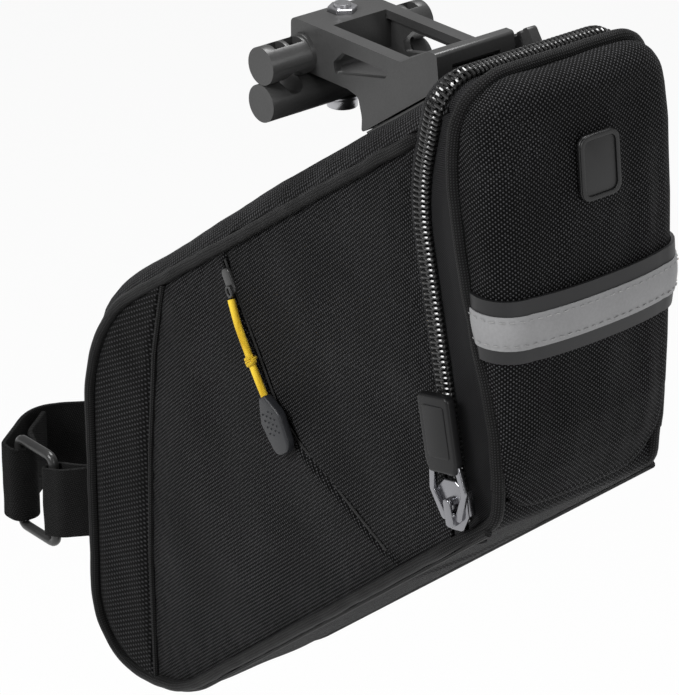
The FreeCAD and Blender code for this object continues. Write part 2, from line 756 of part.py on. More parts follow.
def cover_front(gap):
    """Front edge of the cover in XZ, shifted rearward by a gap."""
    foot = (size("cover_foot_x") + gap, size("cover_foot_z"))
    knee = (size("zip_knee_x") + 14.3 + gap, size("zip_knee_z"))
    top = (size("zip_top_x") + 7.4 + gap, size("cover_top"))
    return foot, knee, top


COVER_FACE_X = 106.2
COVER_LEAN = 0.135


def cover_block(grow, open_front=0.0):
    """Solid of the rear cover, grown outward; open_front carries it ahead of its edge."""
    foot, knee, top = cover_front(-open_front)
    crown_top = (101.4 + grow, size("cover_top") + grow)
    crown_low = (114.3 + grow, -84.0)
    heel = (111.5 + grow, size("cover_foot_z") - grow)
    low_front = (foot[0], foot[1] - grow)
    high_front = (top[0], top[1] + grow)
    side_view = prism_y([
        (*low_front, 0), (*knee, 0), (*high_front, 0), (*crown_top, 12 + grow),
        (*crown_low, 20 + grow), (*heel, 2),
    ])
    half = size("cover_half_width") + grow
    rear_view = prism_x([
        (-half, low_front[1], 12), (half, low_front[1], 12),
        (half, high_front[1], 14), (-half, high_front[1], 14),
    ], 60, 140)
    # plan view, carried up along the leaning rear face
    edge = COVER_FACE_X + grow - size("cover_crown")
    plan = Part.Face(Part.Wire(Part.__sortEdges__([e.toShape() for e in rounded([
        (20, -half, 0), (edge, -half, 9 + grow), (COVER_FACE_X + grow, -12, 45),
        (COVER_FACE_X + grow, 12, 45), (edge, half, 9 + grow), (20, half, 0),
    ])])))
    rise = 300.0
    plan.translate(Vector(rise / 2 * COVER_LEAN, 0, -rise / 2))
    leaning = plan.extrude(Vector(-rise * COVER_LEAN, 0, rise))
    return side_view.common(rear_view).common(leaning)


def rear_cover():
    wall = size("band_thickness")
    shell = cover_block(0).cut(cover_block(-wall, 30.0))
    feature("rear_cover", shell)


def cover_skin(near, far, low, high):
    """Thin layer on the cover's rear face between two heights."""
    layer = cover_block(far).cut(cover_block(near))
    return layer.common(Part.makeBox(60, 90, high - low, Vector(99.5, -45, low)))


def cover_trim():
    middle = size("reflector_z")
    strap = size("light_strap_height") / 2
    tape = size("reflector_height") / 2
    feature("light_strap", cover_skin(0.1, 1.5, middle - strap, middle + strap))
    feature("reflective_tape", cover_skin(1.6, 2.1, middle - tape, middle + tape))
    top = size("badge_top")
    low = top - size("badge_height")
    half = size("badge_width") / 2
    patch = prism_x([(-half, top, 3), (half, top, 3), (half, low, 3), (-half, low, 3)], 60, 140)
    feature("blank_patch", cover_skin(0.1, 1.4, low - 2, top + 2).common(patch))
    r = size("piping_diameter") / 2
    foot, knee, high = cover_front(1.6)
    out = size("cover_half_width") + 0.1 + r
    top_z = size("cover_top") + 0.1 + r
    points = [(foot[0] - 1.6, -out, foot[1] + 4), (knee[0], -out, knee[1]), (high[0], -out, top_z),
              (high[0], out, top_z), (knee[0], out, knee[1]), (foot[0] - 1.6, out, foot[1] + 4)]
    feature("cover_piping", tube(points, size("piping_diameter"), [60.0, 15.0, 15.0, 60.0]))


# ------------------------------------------------------------ closure slider

def chain_place():
    """Placement of the closure slider: Z along the chain, on the left side."""
    rise = size("zip_knee_z") - size("zip_foot_z")
    run = size("zip_knee_x") - size("zip_foot_x")
    lean = math.degrees(math.atan2(run, rise))
    z = size("slider_z")
    return Placement(Vector(zip_x(z), 0, z), Rotation(Vector(0, 1, 0), lean))


def closure_slider():
    chain_y = -(size("rear_half_width") + 0.3)
    gap = size("slide_clearance")
    coil = size("coil_diameter") / 2
    top_y = chain_y - coil - gap
    low_y = chain_y + coil + gap
    half_l = size("slider_length") / 2
    half_w = size("slider_width") / 2
    neck = size("coil_gap") / 2 - gap

    body = new_body("zip_slider")
    plate = rounded([(-half_w, -half_l + 4, 2), (half_w, -half_l + 4, 2), (half_w, half_l - 3, 2),
                     (2.5, half_l, 1), (-2.5, half_l, 1), (-half_w, half_l - 3, 2)])
    pad(body, "XZ_Plane", plate, "1.4", offset=-(top_y - 0.7))
    pad(body, "XZ_Plane", box_loop(-neck, neck, -2.0, 4.0), f"{low_y - top_y + 1:.3f}",
        offset=-(top_y + low_y) / 2)
    pad(body, "XZ_Plane", plate, "1.2", offset=-(low_y + 0.6))
    # lug that carries the bail
    lug_low = top_y - 1.4
    pad(body, "XZ_Plane", box_loop(-2.2, 2.2, -6.0, 1.0, 1.0), "3.6", offset=-(lug_low - 1.7))
    bail_y = lug_low - 1.9
    wire = size("bail_wire") / 2
    pocket(body, "YZ_Plane", circle(bail_y, -2.6, wire + 0.15), "8")
    body.Placement = chain_place()

    hexagon_route = [(0, -2.6), (-3.2, -2.6), (-8.4, 3.6), (-6.6, 11.6), (6.6, 11.6), (8.4, 3.6),
                     (3.2, -2.6), (0, -2.6)]
    spots = [(x, bail_y, z) for x, z in hexagon_route]
    loop = tube(spots, size("bail_wire"), [1.0, 2.0, 1.4, 1.4, 2.0, 1.0])
    bail = feature("zip_bail", loop)
    move(bail, chain_place())

    tab = new_body("pull_tab")
    half_t = size("tab_width") / 2
    low = 10.0
    high = low + size("tab_length")
    outline = rounded([(-half_t + 1.0, low, 1.5), (half_t - 1.0, low, 1.5), (half_t, low + 4, 3),
                       (half_t, high, 2), (-half_t, high, 2), (-half_t, low + 4, 3)])
    pad(tab, "XZ_Plane", outline, "sizes.tab_thickness", offset=-bail_y)
    doc.recompute()
    tab.Placement = chain_place()
    NODES.remove(tab)
    tab.Label = "pull_tab_blank"
    moulded = doc.addObject("Part::Cut", "pull_tab_moulded")
    moulded.Base = tab
    moulded.Tool = bail
    keep(moulded, "pull_tab")


# --------------------------------------------------------------- side pocket

POCKET_TOP = (-21.5, -64.5)
POCKET_TURN = (8.0, -108.5)
POCKET_END = (64.0, -131.0)
POCKET_SLIDER = (-17.65, -70.2)


def on_side(x, z, out):
    """Point outside the left side panel."""
    return x, -half_width(x) - out, z


def pocket_axis():
    run = POCKET_TURN[0] - POCKET_TOP[0]
    rise = POCKET_TURN[1] - POCKET_TOP[1]
    return math.degrees(math.atan2(rise, run))


def side_frame(x, z, out, turn):
    """Placement on the left side: X along the given turn, Y outward-inward, Z across."""
    base = Vector(*on_side(x, z, out))
    taper = Rotation(Vector(0, 0, 1), -size("side_taper"))
    return Placement(base, taper.multiply(Rotation(Vector(0, 1, 0), -turn)))


CORD_POINTS = [
    (-14.6, -74.9, 3.8), (-11.2, -80.7, 4.4), (-7.4, -85.8, 4.6), (-3.4, -91.2, 4.7),
    (0.2, -96.4, 4.7), (4.0, -101.4, 4.6),
]


def side_pocket():
    r = 0.9
    out = 0.1 + r
    spots = [on_side(*POCKET_TOP, out), on_side(*POCKET_TURN, out),
             on_side(32.0, -119.5, out), on_side(*POCKET_END, out)]
    feature("pocket_zip_coil", tube(spots, 2 * r))
    holder = Part.makeBox(9.0, 2.9, 5.4, Vector(-4.5, -2.2, -2.7))
    groove = Part.makeCylinder(r + 0.3, 30, Vector(-15, 0, 0), Vector(1, 0, 0))
    eye = Part.makeBox(3.6, 1.8, 3.0, Vector(1.4, -3.9, -1.5))
    slider = holder.fuse(eye).removeSplitter().cut(groove)
    thing = feature("pocket_slider", slider)
    move(thing, side_frame(*POCKET_SLIDER, out, pocket_axis()))

    pouch = prism_y([(-30, -70, 8), (60, -64, 8), (62, -138, 10), (-20, -150, 14)])
    depth = size("band_thickness") + 0.3
    feature("pocket_pouch", pouch.common(side_slab(-depth - 2.0, -depth, -1)))


def pull_cord():
    """Cord from the pocket slider's eye to the moulded grip, with a ball knot on it."""
    spots = [Vector(*on_side(x, z, out)) for x, z, out in CORD_POINTS]
    radius = size("cord_diameter") / 2
    solid = tube(spots, size("cord_diameter"))
    length = sum(e.Length for e in route(spots).Edges)
    ratio = solid.Volume / (math.pi * radius ** 2 * length)
    radii = [e.Curve.Radius for e in route(spots).Edges if hasattr(e.Curve, "Radius")]
    print("cord length %.1f, volume ratio %.4f, radii" % (length, ratio), [round(v, 1) for v in radii])
    centre = spots[3]
    heading = spots[4] - spots[2]
    heading.normalize()
    bead = 0.55
    feature("cord_knot", Part.makeTorus(radius + bead + 0.05, bead, centre, heading))
    feature("pull_cord", solid)

    start = spots[-1]
    flat = start - spots[-2]
    turn = math.degrees(math.atan2(flat.z, flat.x))
    length = size("grip_length")
    half_w = size("grip_width") / 2
    half_t = size("grip_thickness") / 2
    oval = [(0.1, -2.4, 1.0), (length / 2, -half_w * 1.15, 6.0), (length, -2.6, 2.4),
            (length, 2.6, 2.4), (length / 2, half_w * 1.15, 6.0), (0.1, 2.4, 1.0)]
    grip = feature("cord_grip", prism_y(oval, -half_t, half_t))
    move(grip, Placement(start, side_frame(0, 0, 0, turn).Rotation))


# ------------------------------------------------------------ seatpost strap

def strap():
    width = size("strap_width")
    low = size("strap_z") - width / 2
    high = size("strap_z") + width / 2
    thick = size("strap_thickness")
    front_face = -size("front_reach") - size("bottom_crown") - 0.3
    bar = size("ring_front_x")
    y = size("ring_y")
    wrap = 3.9
    points = [
        (front_face, 20.0), (-150.0, 20.0), (-172.0, 1.0), (bar - wrap - 0.6, y - wrap),
        (bar + wrap, y - wrap), (bar + wrap, y + wrap + 0.8), (-149.6, -16.4), (-162.0, -1.0),
    ]
    radii = [11.0, 14.0, wrap, wrap, wrap, 3.0]
    feature("seatpost_strap", ribbon(points, thick, low, high, radii))

    hold = size("ring_rear_x")
    snug = 3.35
    tab = [
        (front_face, y + 4.6), (-112.0, y + snug), (hold - snug, y + snug), (hold - snug, y - snug),
        (-114.0, y - snug), (front_face, y + 2.0),
    ]
    tab_radii = [8.0, snug - 0.02, snug - 0.02, 8.0]
    feature("strap_anchor", ribbon(tab, thick, low + 1, high - 1, tab_radii))

    ring = new_body("strap_ring")
    bar_half = size("ring_bar") / 2
    x0 = size("ring_front_x") - bar_half
    x1 = size("ring_rear_x") + bar_half
    z0 = size("strap_z") - size("ring_height") / 2
    z1 = size("strap_z") + size("ring_height") / 2
    pad(ring, "XZ_Plane", box_loop(x0, x1, z0, z1, 4.0), "sizes.ring_bar", offset=-y)
    inner = box_loop(x0 + 2 * bar_half, x1 - 2 * bar_half, z0 + 2 * bar_half, z1 - 2 * bar_half, 1.2)
    pocket(ring, "XZ_Plane", inner, "sizes.ring_bar + 2", offset=-y)


# ---------------------------------------------------------------- assembly

clip_body()
washer_seat = lower_jaw()
clamp_fasteners(washer_seat)
release_button()
screw_holes = bracket()
gussets(screw_holes)
side_panels()
pipings()
trims()
closure_zip()
rear_cover()
cover_trim()
closure_slider()
side_pocket()
pull_cord()
strap()

doc.recompute()
for thing in doc.Objects:
    for state in thing.State:
        if state in ("Invalid", "Error"):
            raise RuntimeError(thing.Name + " " + thing.Label + " is " + state)
os.makedirs("parts", exist_ok=True)
for thing in NODES:
    shape = thing.Shape
    if shape.isNull() or not shape.isValid() or not shape.Solids:
        raise RuntimeError("bad shape: " + thing.Label)
    shape.exportStep(os.path.join("parts", thing.Label + ".step"))
    box = shape.BoundBox
    print("%-18s solids %d vol %9.1f  X %.1f..%.1f Y %.1f..%.1f Z %.1f..%.1f" % (
        thing.Label, len(shape.Solids), shape.Volume,
        box.XMin, box.XMax, box.YMin, box.YMax, box.ZMin, box.ZMax))
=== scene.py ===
import math

import bmesh
import bpy
from mathutils import Matrix, Vector, noise


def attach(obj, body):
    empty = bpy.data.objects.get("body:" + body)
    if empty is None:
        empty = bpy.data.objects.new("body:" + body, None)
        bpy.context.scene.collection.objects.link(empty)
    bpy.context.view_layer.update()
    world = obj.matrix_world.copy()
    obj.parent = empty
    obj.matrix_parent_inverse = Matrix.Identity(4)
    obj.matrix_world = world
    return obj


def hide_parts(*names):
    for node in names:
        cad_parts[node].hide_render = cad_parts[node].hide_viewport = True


# Wedge saddle bag on a rail clip. Lengths are millimetres in the CAD part's own frame:
# X rearward along the rails, Y to the bag's right, Z up. MM turns them into metres.

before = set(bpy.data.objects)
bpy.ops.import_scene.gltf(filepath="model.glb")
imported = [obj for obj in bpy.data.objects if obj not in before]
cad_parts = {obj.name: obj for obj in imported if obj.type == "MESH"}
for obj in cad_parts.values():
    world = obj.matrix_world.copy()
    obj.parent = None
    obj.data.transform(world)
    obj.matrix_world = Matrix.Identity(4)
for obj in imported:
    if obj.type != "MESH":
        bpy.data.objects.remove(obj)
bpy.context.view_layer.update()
MM = 0.001
bpy.ops.object.select_all(action="DESELECT")


# ------------------------------------------------------------ small helpers

def clamp(value):
    return max(0.0, min(1.0, value))


def ease(share):
    """Smooth step from 0 to 1, level at both ends."""
    return share * share * (3 - 2 * share)


def axes(x_axis, y_axis, z_axis):
    """Matrix that turns the frame's axes to these three."""
    return Matrix((x_axis, y_axis, z_axis)).transposed().to_4x4()


def lifted(place, height):
    """The same place, moved along its own Z."""
    return place @ Matrix.Translation((0, 0, height))


# ---------------------------------------------------------------- outlines

def cross(p, p_angle, q, q_angle):
    """Point where two lines, each given by a point and an angle, meet."""
    ax, az = math.cos(math.radians(p_angle)), math.sin(math.radians(p_angle))
    bx, bz = math.cos(math.radians(q_angle)), math.sin(math.radians(q_angle))
    k = ((q[0] - p[0]) * bz - (q[1] - p[1]) * bx) / (ax * bz - az * bx)
    return (p[0] + k * ax, p[1] + k * az)


def fillet(points, closed=False, step=1.5):
    """Dense polyline through points given as (Vector, radius), corners rounded by arcs."""
    spots = [Vector(p) for p, _ in points]
    radii = [r for _, r in points]
    count = len(spots)
    dense = []
    for i in range(count):
        here = spots[i]
        end = not closed and i in (0, count - 1)
        if end or radii[i] <= 0:
            dense.append(here)
            continue
        before = (spots[i - 1] - here).normalized()
        after = (spots[(i + 1) % count] - here).normalized()
        half = before.angle(after) / 2
        reach = radii[i] / math.tan(half)
        centre = here + (before + after).normalized() * (radii[i] / math.sin(half))
        first = here + before * reach - centre
        last = here + after * reach - centre
        turn = first.angle(last)
        pieces = max(3, int(turn * radii[i] / step))
        for k in range(pieces + 1):
            share = k / pieces
            a = math.sin((1 - share) * turn) / math.sin(turn)
            b = math.sin(share * turn) / math.sin(turn)
            dense.append(centre + first * a + last * b)
    return dense


def rounded(spots, step):
    """Closed outline in the XY plane through (x, y, corner radius)."""
    return fillet([(Vector((x, y, 0)), radius) for x, y, radius in spots], True, step)


def resample(points, count, closed=False):
    """Count points evenly spaced along a polyline."""
    ring = points + [points[0]] if closed else points
    lengths = [0.0]
    for a, b in zip(ring, ring[1:]):
        lengths.append(lengths[-1] + (b - a).length)
    total = lengths[-1]
    steps = count if closed else count - 1
    result = []
    j = 0
    for k in range(count):
        want = total * k / steps
        while j < len(ring) - 2 and lengths[j + 1] < want:
            j += 1
        span = lengths[j + 1] - lengths[j]
        share = 0 if span < 1e-9 else (want - lengths[j]) / span
        result.append(ring[j].lerp(ring[j + 1], min(1.0, share)))
    return result


def length_of(points):
    return sum((b - a).length for a, b in zip(points, points[1:]))


def coons(low, high, near, far, across, up):
    """Grid of points between four edge lines that share their corners."""
    low = resample(low, across)
    high = resample(high, across)
    near = resample(near, up)
    far = resample(far, up)
    grid = []
    for i in range(across):
        u = i / (across - 1)
        column = []
        for j in range(up):
            v = j / (up - 1)
            edges = low[i] * (1 - v) + high[i] * v + near[j] * (1 - u) + far[j] * u
            corners = ((low[0] * (1 - u) + low[-1] * u) * (1 - v)
                       + (high[0] * (1 - u) + high[-1] * u) * v)
            column.append(edges - corners)
        grid.append(column)
    return grid


# ------------------------------------------------------- sizes of the bag

TOP_SLOPE = 35.2
TOP_DROP = 41.6
BOTTOM_SLOPE = 40.0
BOTTOM_RISE = math.tan(math.radians(BOTTOM_SLOPE))
BOTTOM_DROP = 194.4
FRONT = -103.0
DEPTH = -240.0
TOP_FRONT_RADIUS = 65.0
LOW_FRONT_RADIUS = 24.0
LOW_REAR_RADIUS = 60.0
PIPING = 3.9
HALF_WIDTH = 34.0
WIDEST_X = 90.0
SIDE_ANGLE = 3.0
SIDE_TAPER = math.tan(math.radians(SIDE_ANGLE))
REAR_TUCK = 4.6
ZIP_FOOT = (94.8, -106.0)
ZIP_KNEE = (73.9, -10.0)
ZIP_TOP = (82.0, 26.5)
ZIP_KNEE_RADIUS = 60.0
ZIP_TOP_RADIUS = 11.0
CLOTH_WALL = 1.6


def half_width(x):
    return HALF_WIDTH - (WIDEST_X - x) * SIDE_TAPER


def slope(along, above):
    """(X, Z) on the bag's top: distance along the slope, height above the piping line."""
    angle = math.radians(TOP_SLOPE)
    return (along * math.cos(angle) - above * math.sin(angle),
            -TOP_DROP + along * math.sin(angle) + above * math.cos(angle))


def zip_x(z):
    low, high = (ZIP_FOOT, ZIP_KNEE) if z < ZIP_KNEE[1] else (ZIP_KNEE, ZIP_TOP)
    return low[0] + (high[0] - low[0]) * (z - low[1]) / (high[1] - low[1])


def outline_corners(inset):
    """Corners of the body's side outline, set in from the piping's outer edge."""
    top = slope(0, -inset)
    front = (FRONT + inset, 0)
    base = (0, DEPTH + inset)
    under = (0, -BOTTOM_DROP + inset / math.cos(math.radians(BOTTOM_SLOPE)))
    return (cross(top, TOP_SLOPE, front, 90), (front[0], base[1]),
            cross(base, 0, under, BOTTOM_SLOPE), under)


def flat(point):
    return Vector((point[0], 0.0, point[1]))


def side_path(inset, start, end_x, rise=0.0):
    """Outline from the zip, along the top, round the front and back along the bottom.

    With a rise, the line turns up at its rear end to meet the cover."""
    top_front, low_front, low_rear, under = outline_corners(inset)
    end = (end_x, under[1] + end_x * BOTTOM_RISE)
    corners = [(flat(slope(start, -inset)), 0), (flat(top_front), TOP_FRONT_RADIUS - inset),
               (flat(low_front), LOW_FRONT_RADIUS - inset), (flat(low_rear), LOW_REAR_RADIUS - inset)]
    if rise:
        return fillet(corners + [(flat(end), 9.0), (flat((end_x + 0.5, end[1] + rise)), 0)])
    return fillet(corners + [(flat(end), 0)])


# ---------------------------------------------------------------- meshes

def pick(*objects):
    """Selects these objects alone and makes the first one active."""
    bpy.ops.object.select_all(action="DESELECT")
    for obj in objects:
        obj.select_set(True)
    bpy.context.view_layer.objects.active = objects[0]


def new_object(name, data):
    obj = bpy.data.objects.new(name, data)
    bpy.context.collection.objects.link(obj)
    return obj


def finish_object(obj, mat, body, nodes=(), smooth=35):
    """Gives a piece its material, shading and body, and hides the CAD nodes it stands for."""
    obj.data.materials.clear()
    obj.data.materials.append(mat)
    if smooth:
        pick(obj)
        bpy.ops.object.shade_smooth_by_angle(angle=math.radians(smooth))
        obj.select_set(False)
    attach(obj, body)
    if nodes:
        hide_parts(*nodes)


def mesh_object(name, verts, faces, uvs=None):
    """New object from points in millimetres; uvs are millimetres along the cloth."""
    mesh = bpy.data.meshes.new(name)
    mesh.from_pydata([tuple(v * MM) for v in verts], [], faces)
    if uvs is not None:
        layer = mesh.uv_layers.new(name="cloth")
        for loop in mesh.loops:
            layer.data[loop.index].uv = uvs[loop.vertex_index]
    mesh.update()
    return new_object(name, mesh)


def apply_modifier(obj, kind, name, **settings):
    item = obj.modifiers.new(name, kind)
    for key, value in settings.items():
        setattr(item, key, value)
    pick(obj)
    bpy.ops.object.modifier_apply(modifier=name)
    obj.select_set(False)


def give_wall(obj, thickness):
    """Turns a surface into cloth of this thickness, inward from its outer face."""
    apply_modifier(obj, "SOLIDIFY", "wall", thickness=thickness * MM, offset=-1.0)


BAG_MIDDLE = Vector((5.0, 0.0, -110.0))


def sheet(name, grid, uv, closed=False, thickness=0.0, middle=BAG_MIDDLE):
    """Cloth through a grid of points, faces outward, with an inward thickness."""
    across = len(grid)
    up = len(grid[0])
    verts = [p for column in grid for p in column]
    uvs = [p for column in uv for p in column]
    faces = []
    for i in range(across if closed else across - 1):
        k = (i + 1) % across
        for j in range(up - 1):
            faces.append((i * up + j, k * up + j, k * up + j + 1, i * up + j + 1))
    outward = 0.0
    for a, b, c, d in faces:
        normal = (verts[b] - verts[a]).cross(verts[d] - verts[a])
        outward += normal.dot(verts[a] - middle)
    if outward < 0:
        faces = [tuple(reversed(face)) for face in faces]
    obj = mesh_object(name, verts, faces, uvs)
    if thickness:
        give_wall(obj, thickness)
    return obj


def tube(name, points, radius, sides=12, closed=False):
    """Round bar along a dense polyline, with UVs along and round it."""
    count = len(points)
    verts, uvs, faces = [], [], []
    run = 0.0
    normal = None
    for i, p in enumerate(points):
        ahead = points[(i + 1) % count] if closed or i < count - 1 else p
        behind = points[i - 1] if closed or i > 0 else p
        tangent = (ahead - behind).normalized()
        if normal is None:
            normal = tangent.orthogonal().normalized()
        normal = (normal - tangent * normal.dot(tangent)).normalized()
        side = tangent.cross(normal)
        if i:
            run += (p - points[i - 1]).length
        for k in range(sides):
            turn = 2 * math.pi * k / sides
            verts.append(p + (normal * math.cos(turn) + side * math.sin(turn)) * radius)
            uvs.append((run, turn * radius))
    last = count if closed else count - 1
    for i in range(last):
        k = (i + 1) % count
        for j in range(sides):
            n = (j + 1) % sides
            faces.append((i * sides + j, i * sides + n, k * sides + n, k * sides + j))
    if not closed:
        faces.append(tuple(reversed(range(sides))))
        faces.append(tuple((count - 1) * sides + j for j in range(sides)))
    return mesh_object(name, verts, faces, uvs)


def slab(name, outline, thickness, place, bevel=0.0, hole=None, segments=3):
    """Plate from an outline in its own plane, pushed out along the plane's normal, edges rounded."""
    bm = bmesh.new()
    ring = [bm.verts.new((p.x, p.y, 0.0)) for p in outline]
    if hole is None:
        faces = [bm.faces.new(ring)]
    else:
        inner = [bm.verts.new((p.x, p.y, 0.0)) for p in hole]
        faces = []
        for i in range(len(ring)):
            k = (i + 1) % len(ring)
            faces.append(bm.faces.new((ring[i], ring[k], inner[k], inner[i])))
    moved = bmesh.ops.extrude_face_region(bm, geom=faces)["geom"]
    bmesh.ops.translate(bm, verts=[g for g in moved if isinstance(g, bmesh.types.BMVert)],
                        vec=(0, 0, thickness))
    bmesh.ops.recalc_face_normals(bm, faces=bm.faces)
    bm.transform(place)
    bm.transform(Matrix.Scale(MM, 4))
    mesh = bpy.data.meshes.new(name)
    bm.to_mesh(mesh)
    bm.free()
    obj = new_object(name, mesh)
    if bevel:
        apply_modifier(obj, "BEVEL", "edges", width=bevel * MM, segments=segments, limit_method="ANGLE",
                       angle_limit=math.radians(35))
    return obj


def box_outline(a0, a1, b0, b1, radius):
    return rounded([(a0, b0, radius), (a1, b0, radius), (a1, b1, radius), (a0, b1, radius)], 0.5)


def join(name, objects):
    pick(*objects)
    bpy.ops.object.join()
    objects[0].name = name
    objects[0].select_set(False)
    return objects[0]


def bead(radius, segments, rings):
    """Small ball at the origin, the start of a dot, a pin or a stitch."""
    bpy.ops.mesh.primitive_uv_sphere_add(segments=segments, ring_count=rings, radius=radius)
    return bpy.context.active_object


def copies(name, obj, places):
    """One mesh made of copies of a small piece; the model piece itself is removed."""
    verts, faces = [], []
    base = [v.co.copy() for v in obj.data.vertices]
    polys = [tuple(p.vertices) for p in obj.data.polygons]
    for place in places:
        start = len(verts)
        verts += [place @ v for v in base]
        faces += [tuple(start + k for k in poly) for poly in polys]
    bpy.data.objects.remove(obj)
    return mesh_object(name, verts, faces)


# -------------------------------------------------------------- materials

def group(name, inputs, outputs):
    tree = bpy.data.node_groups.new(name, "ShaderNodeTree")
    for kind, label, value in inputs:
        item = tree.interface.new_socket(label, in_out="INPUT", socket_type=kind)
        if value is not None:
            item.default_value = value
    for kind, label in outputs:
        tree.interface.new_socket(label, in_out="OUTPUT", socket_type=kind)
    return tree, tree.nodes.new("NodeGroupInput"), tree.nodes.new("NodeGroupOutput")


def math_node(tree, operation, a, b=None):
    node = tree.nodes.new("ShaderNodeMath")
    node.operation = operation
    for k, value in enumerate((a, b)):
        if value is None:
            continue
        if isinstance(value, (int, float)):
            node.inputs[k].default_value = value
        else:
            tree.links.new(value, node.inputs[k])
    return node.outputs[0]


def plain_weave():
    """Over-and-under threads: each cell is one crossing, every other one raised."""
    tree, given, made = group("plain_weave", [
        ("NodeSocketVector", "Place", None), ("NodeSocketFloat", "Low thread", 0.45)],
        [("NodeSocketFloat", "Height")])
    split = tree.nodes.new("ShaderNodeSeparateXYZ")
    tree.links.new(given.outputs["Place"], split.inputs[0])
    waves, cells = [], []
    for axis in (0, 1):
        turn = math_node(tree, "MULTIPLY", split.outputs[axis], math.pi)
        waves.append(math_node(tree, "ABSOLUTE", math_node(tree, "SINE", turn)))
        cells.append(math_node(tree, "FLOOR", split.outputs[axis]))
    over = math_node(tree, "PINGPONG", math_node(tree, "ADD", cells[0], cells[1]), 1.0)
    warp = math_node(tree, "MULTIPLY", waves[0], math_node(tree, "POWER", waves[1], 0.5))
    weft = math_node(tree, "MULTIPLY", waves[1], math_node(tree, "POWER", waves[0], 0.5))
    low = math_node(tree, "MULTIPLY", weft, given.outputs["Low thread"])
    upper = math_node(tree, "MULTIPLY", warp, over)
    under = math_node(tree, "MULTIPLY", low, math_node(tree, "SUBTRACT", 1.0, over))
    tree.links.new(math_node(tree, "ADD", upper, under), made.inputs["Height"])
    return tree


def herringbone():
    """Twill ribs that change direction every so often across the tape."""
    tree, given, made = group("herringbone", [
        ("NodeSocketVector", "Place", None), ("NodeSocketFloat", "Zigzag", 1.0)],
        [("NodeSocketFloat", "Height")])
    split = tree.nodes.new("ShaderNodeSeparateXYZ")
    tree.links.new(given.outputs["Place"], split.inputs[0])
    back = math_node(tree, "PINGPONG", split.outputs[1], 1.0)
    lean = math_node(tree, "MULTIPLY", back, given.outputs["Zigzag"])
    phase = math_node(tree, "MULTIPLY", math_node(tree, "ADD", split.outputs[0], lean), 2 * math.pi)
    rib = math_node(tree, "ABSOLUTE", math_node(tree, "SINE", phase))
    tree.links.new(rib, made.inputs["Height"])
    return tree


def speckle():
    """Fine grain at one scale with a slower drift, for plastic, metal and coated cloth."""
    tree, given, made = group("speckle", [
        ("NodeSocketVector", "Place", None), ("NodeSocketFloat", "Scale", 1.0)],
        [("NodeSocketFloat", "Grain"), ("NodeSocketFloat", "Drift")])
    for label, factor, detail in (("Grain", 1.0, 3.0), ("Drift", 0.04, 2.0)):
        cloud = tree.nodes.new("ShaderNodeTexNoise")
        cloud.inputs["Detail"].default_value = detail
        tree.links.new(given.outputs["Place"], cloud.inputs["Vector"])
        size = math_node(tree, "MULTIPLY", given.outputs["Scale"], factor)
        tree.links.new(size, cloud.inputs["Scale"])
        tree.links.new(cloud.outputs["Fac"], made.inputs[label])
    return tree


WEAVE = plain_weave()
TWILL = herringbone()
SPECKLE = speckle()


def new_material(name):
    mat = bpy.data.materials.new(name)
    mat.use_nodes = True
    tree = mat.node_tree
    shader = tree.nodes["Principled BSDF"]
    return mat, tree, shader


def place_group(tree, which, vector, **values):
    node = tree.nodes.new("ShaderNodeGroup")
    node.node_tree = which
    tree.links.new(vector, node.inputs["Place"])
    for label, value in values.items():
        node.inputs[label.replace("_", " ")].default_value = value
    return node


def scaled(tree, source, scale, turn=0.0):
    """Coordinates, stretched to the size of one repeat."""
    spot = tree.nodes.new("ShaderNodeTexCoord")
    mapping = tree.nodes.new("ShaderNodeMapping")
    mapping.inputs["Scale"].default_value = scale
    mapping.inputs["Rotation"].default_value = (0, 0, turn)
    tree.links.new(spot.outputs[source], mapping.inputs["Vector"])
    return mapping.outputs["Vector"]


def ramp(tree, value, low, high, start, end):
    """Colour between two, by a value."""
    node = tree.nodes.new("ShaderNodeValToRGB")
    node.color_ramp.elements[0].position = start
    node.color_ramp.elements[1].position = end
    node.color_ramp.elements[0].color = (*low, 1)
    node.color_ramp.elements[1].color = (*high, 1)
    tree.links.new(value, node.inputs["Fac"])
    return node.outputs["Color"]


def bump(tree, shader, height, distance, strength=1.0):
    """Relief from a height, its depth in millimetres."""
    node = tree.nodes.new("ShaderNodeBump")
    node.inputs["Distance"].default_value = distance * MM
    node.inputs["Strength"].default_value = strength
    tree.links.new(height, node.inputs["Height"])
    tree.links.new(node.outputs["Normal"], shader.inputs["Normal"])


def blend_values(tree, a, b, share):
    """a and b mixed by a fixed share of b."""
    return math_node(tree, "ADD", math_node(tree, "MULTIPLY", a, 1 - share),
                     math_node(tree, "MULTIPLY", b, share))


def cloth(name, dark, light, cell, depth, roughness=0.62, sheen=0.02, low_thread=0.45, turn=0.0,
          ends=(0.12, 0.88), fuzz_share=0.22, grit=2.6):
    """Woven cloth: thread relief with painted shade between the threads and a painted highlight on their
    crests, slow wear and fibre fuzz.
    """
    mat, tree, shader = new_material(name)
    vector = scaled(tree, "UV", (1 / cell[0], 1 / cell[1], 1), turn)
    weave = place_group(tree, WEAVE, vector, Low_thread=low_thread)
    fuzz = place_group(tree, SPECKLE, scaled(tree, "UV", (1, 1, 1)), Scale=grit)
    crest = blend_values(tree, weave.outputs["Height"], fuzz.outputs["Grain"], fuzz_share)
    shade = blend_values(tree, crest, fuzz.outputs["Drift"], 0.2)
    # Base colour: painted shade in the thread hollows and a painted highlight on the crests, plus random
    # fibre fuzz and slow drift in tone.
    tree.links.new(ramp(tree, shade, dark, light, *ends), shader.inputs["Base Color"])
    shader.inputs["Roughness"].default_value = roughness
    shader.inputs["Sheen Weight"].default_value = sheen
    shader.inputs["Sheen Roughness"].default_value = 0.5
    shader.inputs["Specular IOR Level"].default_value = 0.08
    bump(tree, shader, crest, depth)
    return mat


